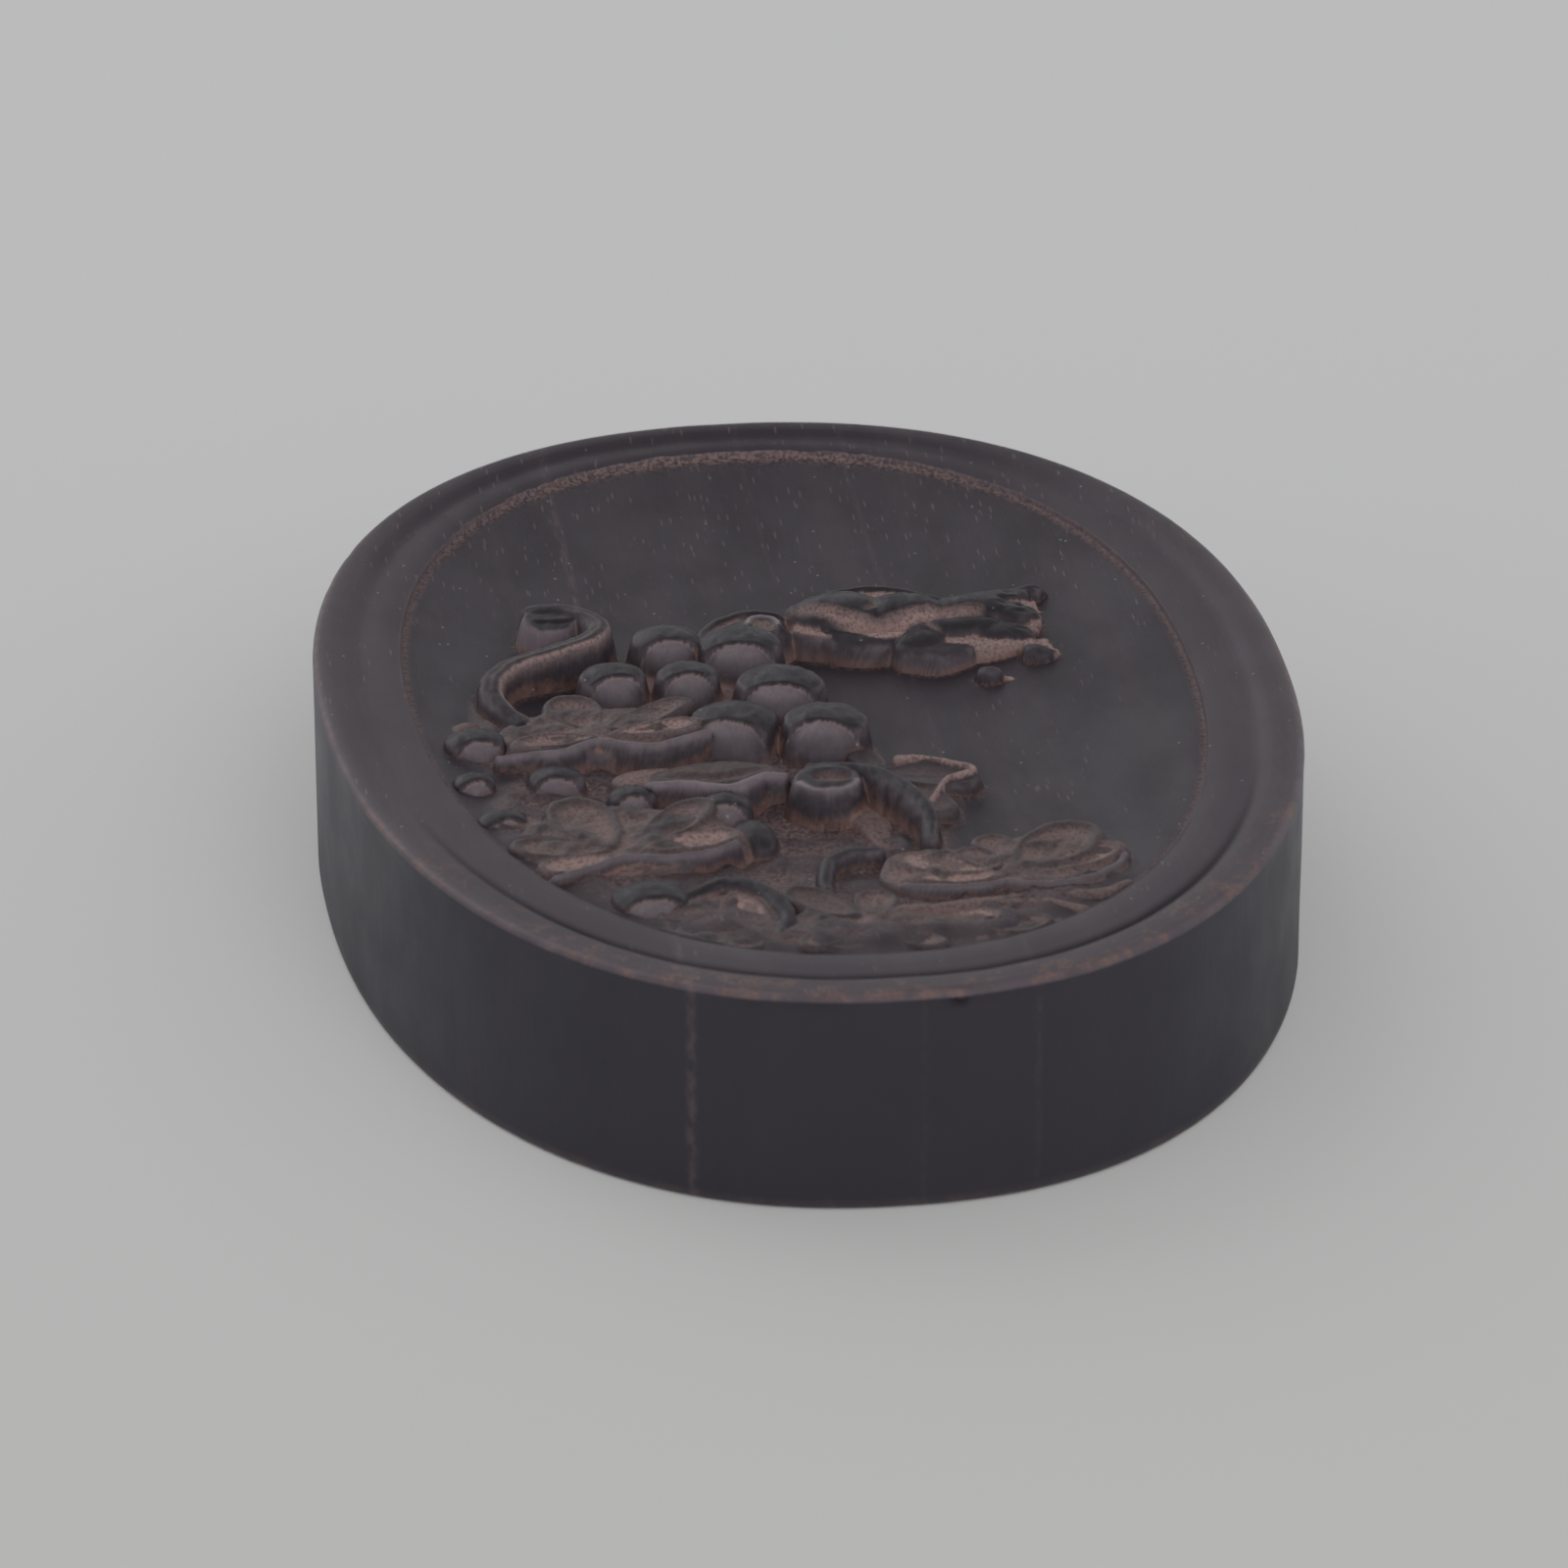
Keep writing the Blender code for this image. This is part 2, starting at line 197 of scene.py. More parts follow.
def smooth_path(points, step=0.3):
    """A Catmull-Rom curve through the points."""
    p = np.array(points, float)
    ends = np.vstack([2 * p[0] - p[1], p, 2 * p[-1] - p[-2]])
    out = []
    for k in range(1, len(ends) - 2):
        a, b, c, d = ends[k - 1:k + 3]
        count = max(2, int(np.hypot(*(c - b)[:2]) / step))
        t = np.linspace(0, 1, count, endpoint=False)[:, None]
        out.append(0.5 * (2 * b + (c - a) * t + (2 * a - 5 * b + 4 * c - d) * t ** 2
                          + (3 * b - a - 3 * c + d) * t ** 3))
    out.append(p[-1:])
    return np.vstack(out)


def nearest_on_path(x, y, path):
    """Distance to a path, how far along it (0..1), and the side (+1 left, -1 right)."""
    best = np.full(x.shape, 1e9)
    along = np.zeros(x.shape)
    side = np.ones(x.shape)
    count = len(path) - 1
    for k in range(count):
        ax, ay = path[k]
        ex, ey = path[k + 1] - path[k]
        t = np.clip(((x - ax) * ex + (y - ay) * ey) / (ex * ex + ey * ey + 1e-12), 0, 1)
        dx, dy = x - ax - t * ex, y - ay - t * ey
        d = np.hypot(dx, dy)
        closer = d < best
        best = np.where(closer, d, best)
        along = np.where(closer, (k + t) / count, along)
        side = np.where(closer, np.sign(ex * dy - ey * dx), side)
    return best, along, side


def band(x, y, points, half_width, drops, crown=0.25, tilt=0.0, rawness_and_painted_light=0.0, warm=0.0, painted_highlight=0.0):
    """A raised band along a path; half_width and drops are lists from its start to its end. Its top, to just
    past its edge, can be painted pale as a painted highlight line.
    """
    d, t, side = nearest_on_path(x, y, smooth_path(points))
    width = np.interp(t, np.linspace(0, 1, len(half_width)), half_width)
    top = np.interp(t, np.linspace(0, 1, len(drops)), TOP - np.array(drops))
    across = np.clip(d / width, 0, 1)
    inside = top - crown * across ** 2.5 + tilt * side * across
    wall = np.clip((d - width) / 0.3, 0, 1)
    # Painted highlight: the band's top and a thin strip past its edge are painted pale.
    painted_highlight_line = painted_highlight * np.clip(1 - (d - width) / PAINTED_HIGHLIGHT_WIDTH, 0, 1)
    return form(inside - np.clip(d - width, 0, None) * WALL_SLOPE, rawness_and_painted_light * wall + painted_highlight_line, warm)


def cut(shape, x, y, points, half_width, depth, warm=1.0):
    """Takes a V cut along a path out of a form, and leaves it warm."""
    d, t, _ = nearest_on_path(x, y, smooth_path(points))
    share = np.sin(np.clip(t, 0.02, 0.98) * math.pi) ** 0.4 * np.clip(1 - d / half_width, 0, 1)
    return np.stack([shape[0] - depth * share, shape[1] * (1 - share),
                     np.maximum(shape[2], warm * share ** 0.6)])


def petal(x, y, root, tip, half_width, drops, hollow=0.45, ridge=0.07, vein=0.12, warm=0.5, rawness_and_painted_light=0.0):
    """One lobe of a leaf: a loop with a raised polished edge and a brown hollow face with a thin vein."""
    root, tip = np.array(root, float), np.array(tip, float)
    reach = np.hypot(*(tip - root))
    ux, uy = (tip - root) / reach
    along = ((x - root[0]) * ux + (y - root[1]) * uy) / reach
    across = (y - root[1]) * ux - (x - root[0]) * uy
    width = half_width * (0.70 + 0.50 * np.clip(along, 0, 1))
    m = (np.abs(2 * along - 1) ** 1.9 + np.abs(across / width) ** 1.9) ** (1 / 1.9)
    at_root, at_tip = TOP - np.array(drops)
    top = at_root + (at_tip - at_root) * np.clip(along, 0, 1)
    inside = np.clip(m, 0, 1)
    face = top - hollow * (1 - inside ** 2.2) + ridge * np.exp(-((m - 0.84) / 0.13) ** 2)
    face = face + vein * np.exp(-(across / 0.17) ** 2) * np.clip(1 - inside, 0, 1)
    face = face - 0.2 * np.clip((m - 0.86) / 0.14, 0, 1) ** 2
    beyond = np.clip(m - 1, 0, None) * min(half_width, reach / 2)
    hollow_share = np.clip((0.80 - m) / 0.15, 0, 1)
    return form(face - beyond * WALL_SLOPE, rawness_and_painted_light * np.clip((m - 1) / 0.1, 0, 1),
                warm * (0.35 + 0.65 * hollow_share))


# ---------------------------------------------------------------- motifs
# They are drawn on the block's field, in millimetres from the middle of the block.

def carve_squirrel(x, y):
    ragged = np.clip((x - 13) / 2, 0, 1)
    x = x + 0.35 * ragged * noise(x, y, 0.55, 0.4, 31)
    y = y + 0.25 * ragged * noise(x, y, 0.7, 0.5, 32)
    belly = band(x, y, [(0.8, 12.9), (2.4, 11.9), (3.9, 10.7), (5.4, 10.25), (7.4, 10.2)],
                 (0.9, 1.15, 1.15, 1.0), (1.5, 1.35, 1.45, 1.6), 0.45, rawness_and_painted_light=0.35)
    ledge = dome(x, y, (6.6, 12.3), (6.8, 2.5), 1.4, -2, 0.2, 4, rawness_and_painted_light=0.2, warm=1.0)
    back = highest(
        dome(x, y, (3.9, 13.4), (3.1, 2.4), 0.25, 4, 1.15),
        dome(x, y, (1.5, 13.4), (1.4, 1.0), 0.7, 30, 0.6),
        dome(x, y, (8.0, 13.1), (2.7, 2.1), 0.35, -6, 1.1),
        dome(x, y, (6.0, 12.2), (1.4, 0.75), 0.95, 6, 0.6),
        dome(x, y, (8.2, 12.3), (1.1, 0.6), 0.95, 4, 0.5),
        dome(x, y, (12.2, 13.0), (2.9, 1.7), 0.6, 4, 1.0),
        dome(x, y, (14.7, 12.6), (1.7, 1.5), 1.0, -20, 0.9),
    )
    haunch = highest(
        dome(x, y, (10.9, 10.8), (3.6, 1.25), 0.95, 4, 0.9),
        dome(x, y, (13.7, 10.3), (2.3, 1.3), 1.3, -8, 0.8),
        dome(x, y, (8.6, 9.6), (1.7, 1.2), 1.2, 20, 0.6),
    )
    outline = band(x, y, [(1.0, 14.2), (2.7, 15.4), (5.0, 16.0), (7.6, 16.0), (9.7, 14.9), (10.9, 14.3),
                          (12.7, 15.0), (14.8, 15.3), (16.6, 16.1)], (0.30, 0.35, 0.35, 0.35),
                   (1.0, 0.75, 1.1, 1.3), 0.2)
    patch = dome(x, y, (6.8, 15.2), (3.2, 0.85), 1.05, -4, 0.3, 4, warm=1.0)
    tail = highest(
        band(x, y, [(11.4, 13.9), (13.6, 14.4), (15.4, 15.0), (17.0, 16.1)], (0.6, 0.75, 0.6),
             (0.9, 1.0, 1.5), 0.2),
        band(x, y, [(13.0, 13.5), (15.0, 13.7), (16.5, 14.3)], (0.35, 0.4, 0.3), (1.3, 1.35, 1.7), 0.1,
             warm=1.0),
        dome(x, y, (16.3, 15.8), (0.9, 0.7), 1.55, 40, 0.3, warm=1.0),
        dome(x, y, (15.9, 12.2), (0.8, 1.6), 1.75, 0, 0.4, warm=0.9),
    )
    foot = highest(
        band(x, y, [(7.8, 8.9), (9.4, 8.3), (11.0, 8.6)], (0.95, 1.1, 0.8), (1.55, 1.65, 1.75), 0.2, rawness_and_painted_light=0.6),
        band(x, y, [(10.6, 9.3), (12.4, 9.0), (14.2, 9.2), (15.3, 9.0)], (0.6, 0.7, 0.6, 0.5),
             (1.65, 1.8, 1.9), 0.1, warm=0.9, rawness_and_painted_light=0.5),
        dome(x, y, (15.7, 7.8), (1.0, 0.85), 1.75, -20, 0.5),
        dome(x, y, (16.4, 8.6), (0.6, 1.5), 2.1, 10, 0.3, warm=0.9),
        dome(x, y, (12.3, 5.5), (0.85, 0.65), 2.0, -25, 0.45),
        dome(x, y, (13.1, 5.3), (0.8, 0.3), 2.6, 0, 0.2, warm=1.0),
    )
    head = dome(x, y, (-2.5, 11.2), (3.2, 2.2), 0.75, 24, 0.8, 2.6)
    brow = band(x, y, [(-5.5, 9.6), (-5.0, 11.2), (-3.6, 12.6), (-1.6, 13.3), (0.0, 13.0)],
                (0.35, 0.4, 0.4, 0.3), (1.3, 0.85, 0.65, 0.9), 0.15)
    head = highest(head, brow)
    head = cut(head, x, y, [(-4.9, 9.9), (-4.2, 11.3), (-2.8, 12.3), (-1.7, 12.6)], 0.32, 0.3)
    eye = np.hypot((x + 1.25) / 0.95, (y - 11.2) / 1.2)
    ring = np.exp(-((eye - 1) / 0.2) ** 2)
    head = np.stack([head[0] + 0.26 * ring - 0.22 * np.clip(1 - eye, 0, 1),
                     np.maximum(head[1], 0.9 * ring * (y > 11.1)), np.maximum(head[2], 0.5 * (eye < 0.7))])
    whole = highest(belly, ledge, back, haunch, outline, patch, tail, foot, head)
    whole = cut(whole, x, y, [(0.3, 13.6), (0.5, 12.4), (0.2, 11.2)], 0.45, 0.5, 0.3)
    whole = cut(whole, x, y, [(5.9, 14.3), (6.1, 13.2), (5.4, 12.4)], 0.3, 0.3, 0.4)
    whole = cut(whole, x, y, [(9.4, 11.6), (9.2, 10.6), (9.8, 9.8)], 0.25, 0.2, 0.5)
    return cut(whole, x, y, [(1.4, 13.0), (2.7, 12.4), (3.9, 11.6), (5.4, 11.2), (7.4, 11.2), (9.6, 11.8),
                             (12.4, 11.9)], 0.75, 0.45)


def carve_tendril(x, y):
    path = [(-15.4, 14.5), (-13.6, 14.3), (-12.2, 13.0), (-11.7, 11.3), (-12.7, 9.6), (-15.1, 8.2),
            (-17.5, 6.9), (-18.9, 5.2), (-19.3, 3.1), (-18.9, 1.0), (-17.8, -0.8)]
    strap = band(x, y, path, (0.7, 0.7, 0.8, 0.75, 0.75, 0.7), (0.25, 0.1, 0.2, 0.3, 0.75), 0.22,
                 0.08)
    strap = cut(strap, x, y, path[1:-2], 0.16, 0.07, 0.35)
    d, t, side = nearest_on_path(x, y, smooth_path(path))
    near_edge = np.exp(-((d - 0.68) / 0.14) ** 2) * (side > 0) * np.clip(t * 8 - 1.5, 0, 1)
    strap = np.stack([strap[0], strap[1], np.maximum(strap[2], near_edge)])
    end = dome(x, y, (-14.6, 13.4), (1.7, 1.6), 0.4, 0, 0.15, 6, rawness_and_painted_light=0.75)
    end = np.stack([end[0] - 0.18 * (y < 12.9) * np.exp(-((x + 14.4) / 1.2) ** 4), end[1], end[2]])
    return highest(strap, end)


def carve_grapes(x, y):
    berries = [(-7.7, 9.3, 2.2, 6), (-3.1, 8.3, 2.6, -6), (-11.6, 4.5, 2.1, 8), (-7.0, 3.9, 1.95, 0),
               (-1.4, 2.1, 2.75, -10), (-4.9, -2.6, 2.7, -18), (0.6, -3.8, 2.6, -14)]
    bunch = dome(x, y, (-5.0, 3.0), (9.0, 3.6), 2.15, -55, 0.5, 4, rawness_and_painted_light=0.25, warm=0.5)
    for k, (bx, by, r, lean) in enumerate(berries):
        bunch = highest(bunch, berry(x, y, (bx, by), r, 0.05 + 0.07 * (k % 3), lean))
    return bunch


def folded(shape, x, y, seed):
    """Lets a plate rise and fall in soft folds, so that it isn't flat between the lobes."""
    waves = noise(x + 0.4 * y, y, 1.9, 1.3, seed) + 0.5 * noise(x, y - 0.3 * x, 0.8, 0.7, seed + 1)
    return np.stack([shape[0] + FOLD_DEPTH * waves, shape[1], np.clip(shape[2] * (1 - 0.8 * waves), 0, 1)])


def carve_upper_leaf(x, y):
    under = folded(dome(x, y, (-13.4, -2.4), (6.2, 3.2), 0.90, 0, 0.3, 5, warm=0.35, rawness_and_painted_light=0.15), x, y, 41)
    petals = highest(
        petal(x, y, (-13.4, -2.2), (-15.2, 2.3), 1.9, (0.9, 0.6), 0.5),
        petal(x, y, (-12.9, -2.9), (-7.2, 0.9), 1.2, (0.8, 0.55), 0.4),
        petal(x, y, (-12.6, -3.5), (-6.9, -2.9), 1.0, (0.65, 0.35), 0.45, warm=1.0),
        petal(x, y, (-13.4, -3.7), (-18.9, -4.6), 1.05, (0.65, 0.45), 0.4, warm=0.7),
        petal(x, y, (-14.2, -2.6), (-19.0, -1.4), 1.2, (0.95, 1.0), 0.4),
    )
    lip = band(x, y, [(-19.8, -5.9), (-17.8, -5.9), (-16.0, -6.0), (-14.7, -5.4), (-13.7, -4.8),
                      (-12.6, -5.1), (-11.7, -5.6), (-10.2, -5.9), (-8.4, -5.2), (-6.7, -4.5)],
               (0.2, 0.24, 0.24, 0.2), (0.7, 0.5, 0.4, 0.45, 0.4), 0.12, rawness_and_painted_light=0.06, painted_highlight=0.50)
    return highest(under, petals, lip)


def carve_lower_leaf(x, y):
    under = folded(dome(x, y, (-13.4, -17.8), (6.8, 4.6), 0.95, 0, 0.35, 5, warm=0.35, rawness_and_painted_light=0.12), x, y, 43)
    petals = highest(
        petal(x, y, (-14.3, -19.2), (-16.6, -12.3), 2.1, (0.8, 0.5), 0.6),
        petal(x, y, (-12.6, -19.0), (-7.9, -13.6), 1.5, (0.75, 0.5), 0.5),
        petal(x, y, (-12.6, -19.6), (-6.4, -18.5), 1.1, (0.7, 0.5), 0.45, warm=1.0),
        petal(x, y, (-14.4, -19.4), (-20.4, -18.0), 1.4, (0.85, 0.7), 0.45),
        petal(x, y, (-14.2, -20.4), (-19.2, -22.0), 1.1, (0.75, 0.5), 0.4, warm=1.0),
        petal(x, y, (-18.0, -15.2), (-20.8, -13.6), 1.2, (1.0, 0.8), 0.4),
        dome(x, y, (-5.6, -17.3), (1.3, 2.2), 1.0, 12, 0.8),
        berry(x, y, (-6.9, -13.9), 1.6, 0.55, -8),
        berry(x, y, (-20.4, -14.0), 1.5, 0.7, 12),
    )
    lip = band(x, y, [(-19.2, -23.3), (-17.4, -22.8), (-15.7, -22.0), (-14.2, -21.1), (-12.8, -21.2),
                      (-11.2, -21.4), (-8.9, -20.9), (-7.0, -19.7)], (0.2, 0.24, 0.24, 0.2),
               (0.6, 0.45, 0.5, 0.6), 0.12, rawness_and_painted_light=0.08, painted_highlight=0.4)
    return highest(under, petals, lip)


def carve_right_leaf(x, y):
    under = folded(dome(x, y, (11.6, -23.8), (4.4, 3.9), 0.95, 0, 0.3, 5, warm=0.35, rawness_and_painted_light=0.30), x, y, 45)
    petals = highest(
        petal(x, y, (8.9, -25.0), (14.3, -20.1), 2.3, (0.8, 0.5), 0.5),
        petal(x, y, (9.6, -25.6), (15.9, -22.9), 1.2, (0.85, 0.65), 0.4, warm=1.0),
        petal(x, y, (9.2, -23.4), (7.6, -20.2), 1.3, (0.9, 0.9), 0.35),
        petal(x, y, (9.9, -25.9), (14.0, -26.9), 1.0, (0.9, 0.9), 0.3, warm=1.0),
    )
    lip = band(x, y, [(8.2, -26.6), (10.2, -27.4), (12.4, -27.2), (14.4, -26.0), (15.8, -24.0)],
               (0.22, 0.26, 0.2), (0.75, 0.65, 0.8), 0.12, rawness_and_painted_light=0.22, painted_highlight=0.4)
    whole = cut(highest(under, petals), x, y, [(11.0, -23.6), (12.2, -22.2), (12.6, -20.6)], 0.3, 0.2, 0.6)
    return highest(whole, lip)


def carve_middle_leaf(x, y):
    under = folded(dome(x, y, (4.8, -24.2), (3.9, 2.9), 1.05, 0, 0.3, 5, warm=0.4, rawness_and_painted_light=0.30), x, y, 47)
    petals = highest(
        petal(x, y, (7.6, -25.2), (2.0, -22.4), 1.3, (0.85, 0.85), 0.35, warm=1.0),
        petal(x, y, (8.0, -25.0), (6.2, -21.6), 1.2, (0.85, 0.9), 0.35),
        petal(x, y, (8.3, -25.8), (2.6, -25.4), 0.9, (0.8, 0.85), 0.3, warm=1.0),
    )
    lip = band(x, y, [(2.2, -26.0), (4.2, -26.9), (6.4, -27.0), (8.4, -26.5)], (0.2, 0.24, 0.2),
               (0.9, 0.75, 0.8), 0.12, rawness_and_painted_light=0.22, painted_highlight=0.4)
    return highest(under, petals, lip)


def carve_pointed_leaf(x, y):
    blade = highest(
        petal(x, y, (2.6, -9.6), (9.2, -9.9), 1.9, (1.5, 1.9), 0.2, 0.06, 0.08, 0.15),
        petal(x, y, (4.0, -10.4), (6.6, -14.8), 1.6, (1.6, 2.0), 0.2, 0.06, 0.08, 0.25),
        petal(x, y, (3.4, -9.0), (2.2, -6.0), 1.0, (1.5, 1.6), 0.2, 0.06, 0.0, 0.1),
    )
    spine = band(x, y, [(4.4, -7.6), (6.6, -7.9), (8.9, -9.6), (7.0, -10.8), (6.2, -12.4), (5.6, -13.4)],
                 (0.14, 0.16, 0.12), (1.4, 1.5, 1.5, 1.7), 0.05, warm=1.0)
    return highest(blade, spine)


def carve_bottom_leaf(x, y):
    hood = band(x, y, [(-10.8, -25.9), (-9.6, -24.9), (-8.3, -24.5), (-6.6, -25.4), (-5.5, -27.4),
                       (-5.2, -29.4), (-5.8, -31.4)], (0.4, 0.6, 0.6, 0.45), (0.95, 0.7, 0.75, 1.0), 0.2,
                rawness_and_painted_light=0.3)
    petals = highest(
        petal(x, y, (-8.1, -25.6), (-7.2, -30.2), 1.5, (0.9, 1.1), 0.4, warm=1.0),
        petal(x, y, (-8.8, -26.6), (-12.6, -28.6), 1.3, (1.1, 0.95), 0.35, rawness_and_painted_light=0.4),
        petal(x, y, (-8.8, -28.0), (-11.6, -31.2), 1.2, (1.2, 0.9), 0.35),
        petal(x, y, (-7.6, -30.0), (-8.2, -33.4), 1.1, (1.2, 0.85), 0.3),
    )
    under = folded(dome(x, y, (-9.0, -28.6), (4.2, 4.2), 1.15, 0, 0.3, 5, warm=0.35, rawness_and_painted_light=0.25), x, y, 49)
    return highest(hood, petals, under)


def carve_front_leaf(x, y):
    under = folded(dome(x, y, (1.6, -31.2), (10.4, 3.1), 1.10, 0, 0.3, 5, warm=0.35, rawness_and_painted_light=0.25), x, y, 51)
    petals = highest(
        petal(x, y, (-1.0, -29.8), (-4.9, -25.8), 1.5, (1.0, 0.8), 0.35, warm=0.3, rawness_and_painted_light=0.4),
        petal(x, y, (-0.4, -29.6), (0.6, -26.6), 1.4, (1.05, 0.95), 0.35, rawness_and_painted_light=0.4),
        petal(x, y, (-1.6, -30.8), (-5.0, -33.6), 1.1, (1.0, 0.75), 0.3),
        petal(x, y, (0.4, -32.4), (3.4, -34.4), 0.9, (0.95, 0.7), 0.3),
        petal(x, y, (3.4, -31.0), (7.4, -30.6), 1.1, (1.0, 0.85), 0.35, warm=1.0),
        petal(x, y, (6.0, -32.6), (10.0, -31.8), 1.1, (0.95, 0.75), 0.35, rawness_and_painted_light=0.4),
    )
    arcs = highest(
        band(x, y, [(1.6, -29.0), (4.4, -29.2), (7.0, -28.8), (9.6, -29.2), (11.6, -30.4), (12.8, -31.6)],
             (0.35, 0.4, 0.4, 0.35), (1.0, 0.85, 0.85, 0.85), 0.1, warm=0.5, rawness_and_painted_light=0.4),
        band(x, y, [(-15.4, -28.2), (-12.8, -30.6), (-9.8, -32.6)], (0.6, 0.7, 0.5), (0.95, 0.9, 0.85), 0.15),
        band(x, y, [(11.4, -28.4), (13.4, -28.8), (15.2, -27.6)], (0.5, 0.6, 0.4), (0.9, 0.85, 0.9), 0.15,
             warm=0.4),
    )
    whole = highest(under, petals, arcs)
    whole = cut(whole, x, y, [(-1.6, -32.2), (-0.4, -31.8), (0.9, -32.0)], 0.8, 1.0, 0.2)
    return cut(whole, x, y, [(4.8, -32.4), (5.8, -32.0), (6.6, -31.6)], 0.5, 0.6, 0.2)


def carve_leaf_fold(x, y):
    lip = band(x, y, [(-11.0, -10.9), (-9.3, -11.0), (-7.8, -11.7), (-6.3, -12.2), (-5.0, -11.5),
                      (-4.0, -10.8), (-2.9, -11.1)], (0.3, 0.4, 0.4, 0.3), (0.75, 0.6, 0.5, 0.55), 0.15,
               rawness_and_painted_light=0.20, painted_highlight=0.60)
    face = dome(x, y, (-6.8, -9.3), (4.2, 2.0), 1.0, 0, 0.5, 3, rawness_and_painted_light=0.45, warm=0.2)
    leaf = dome(x, y, (-10.6, -8.4), (2.6, 1.4), 1.4, 0, 0.5, 3, rawness_and_painted_light=0.3, warm=0.6)
    return highest(lip, cut(face, x, y, [(-9.8, -9.4), (-6.8, -9.9), (-4.0, -9.2)], 0.5, 0.25, 0.3), leaf)


def carve_curled_leaf(x, y):
    stub = dome(x, y, (-0.5, -12.6), (2.15, 1.95), 0.15, 10, 0.3, 5)
    hollow = np.hypot((x + 0.2) / 1.15, (y + 12.4) / 0.75)
    cup = np.clip(1.15 - hollow, 0, 1)
    lip = np.exp(-((np.hypot((x + 0.5) / 2.0, (y + 12.6) / 1.8) - 0.93) / 0.10) ** 2) * (y < -12.9)
    stub = np.stack([stub[0] - 1.1 * cup ** 0.7, np.maximum(stub[1], 0.8 * lip), np.clip(1.6 * cup, 0, 1)])
    edge = band(x, y, [(-1.2, -10.6), (0.8, -10.9), (2.2, -11.7), (3.4, -13.3), (4.3, -15.4), (4.8, -17.8),
                       (4.6, -20.0)], (0.45, 0.6, 0.7, 0.6, 0.5), (0.35, 0.2, 0.15, 0.3, 0.8), 0.25, 0.1)
    inner = band(x, y, [(1.0, -13.4), (1.9, -15.2), (2.2, -17.8)], (0.9, 1.0, 0.7), (1.9, 2.1, 2.3), 0.1,
                 warm=0.5)
    return highest(stub, edge, inner)


def carve_hook(x, y):
    return band(x, y, [(-2.4, -25.6), (-2.3, -24.0), (-1.7, -22.5), (-0.4, -21.4), (1.4, -21.2)],
                (0.4, 0.5, 0.5, 0.4), (1.1, 0.8, 0.75, 0.95), 0.2, rawness_and_painted_light=0.2)


def one_berry(centre, radius, drop, lean):
    return lambda x, y: berry(x, y, centre, radius, drop, lean)


def two_berries(x, y):
    small = dome(x, y, (-21.2, 0.2), (1.2, 0.9), 1.4, 40, 0.6, warm=0.4)
    return highest(berry(x, y, (-20.9, -3.1), 1.9, 0.55, 10), small)


# Each CAD node's carving, and how far around the node's box it may reach.
MOTIFS = {
    "squirrel": (carve_squirrel, 3),
    "vine_tendril": (carve_tendril, 3),
    "grape_bunch": (carve_grapes, 3),
    "upper_leaf": (carve_upper_leaf, 3),
    "lower_leaf": (carve_lower_leaf, 4),
    "right_leaf": (carve_right_leaf, 3),
    "middle_leaf": (carve_middle_leaf, 3),
    "pointed_leaf": (carve_pointed_leaf, 4),
    "bottom_leaf": (carve_bottom_leaf, 5),
    "front_leaf": (carve_front_leaf, 10),
    "leaf_fold": (carve_leaf_fold, 4),
    "curled_leaf": (carve_curled_leaf, 3),
    "hooked_tendril": (carve_hook, 3),
    "side_grape_1": (two_berries, 4),
    "side_grape_2": (one_berry((-21.6, -8.6), 1.35, 0.7, 12), 2),
    "side_grape_3": (one_berry((-16.5, -8.4), 1.75, 0.8, 0), 3),
    "side_grape_4": (one_berry((-12.2, -11.5), 1.5, 0.8, 0), 3),
    "lowest_grape": (one_berry((-12.9, -26.0), 2.3, 0.45, 4), 3),
}


# ---------------------------------------------------------------- the field and the height maps

def oval_scale(x, y, half_x, half_y, centre_y):
    """How far out a point lies on the oval: 0 in its middle, 1 on its outline."""
    v = (y - centre_y) / half_y
    egg = 1 + EGG * np.clip(v, -1.2, 1.2)
    return (np.abs(x / (half_x * egg)) ** ROUNDNESS + np.abs(v) ** ROUNDNESS) ** (1 / ROUNDNESS)


carving = Area(-HALF_X + 5, HALF_X - 5, -HALF_Y + 4, HALF_Y - 2)
field_share = oval_scale(carving.X, carving.Y, FIELD_HALF_X, FIELD_HALF_Y, FIELD_SHIFT_Y)
floor_map = FIELD_CENTRE_Z + (FIELD_EDGE_Z - FIELD_CENTRE_Z) * np.clip(field_share, 0, 1.1) ** FIELD_STEEPNESS
warp_x = 0.10 * noise(carving.X, carving.Y, 1.4, 1.4, 1) + 0.04 * noise(carving.X, carving.Y, 0.5, 0.5, 2)
warp_y = 0.10 * noise(carving.X, carving.Y, 1.4, 1.4, 3) + 0.04 * noise(carving.X, carving.Y, 0.5, 0.5, 4)
tool_marks = (0.030 * noise(carving.X, carving.Y, 0.45, 0.9, 5)
              + 0.015 * noise(carving.X, carving.Y, 0.2, 0.5, 6))

# The carving keeps clear of the cut line round the field.
edge_limit = floor_map + np.clip((0.996 - field_share) * FIELD_HALF_X * 2.2, 0, 4) + 0.02


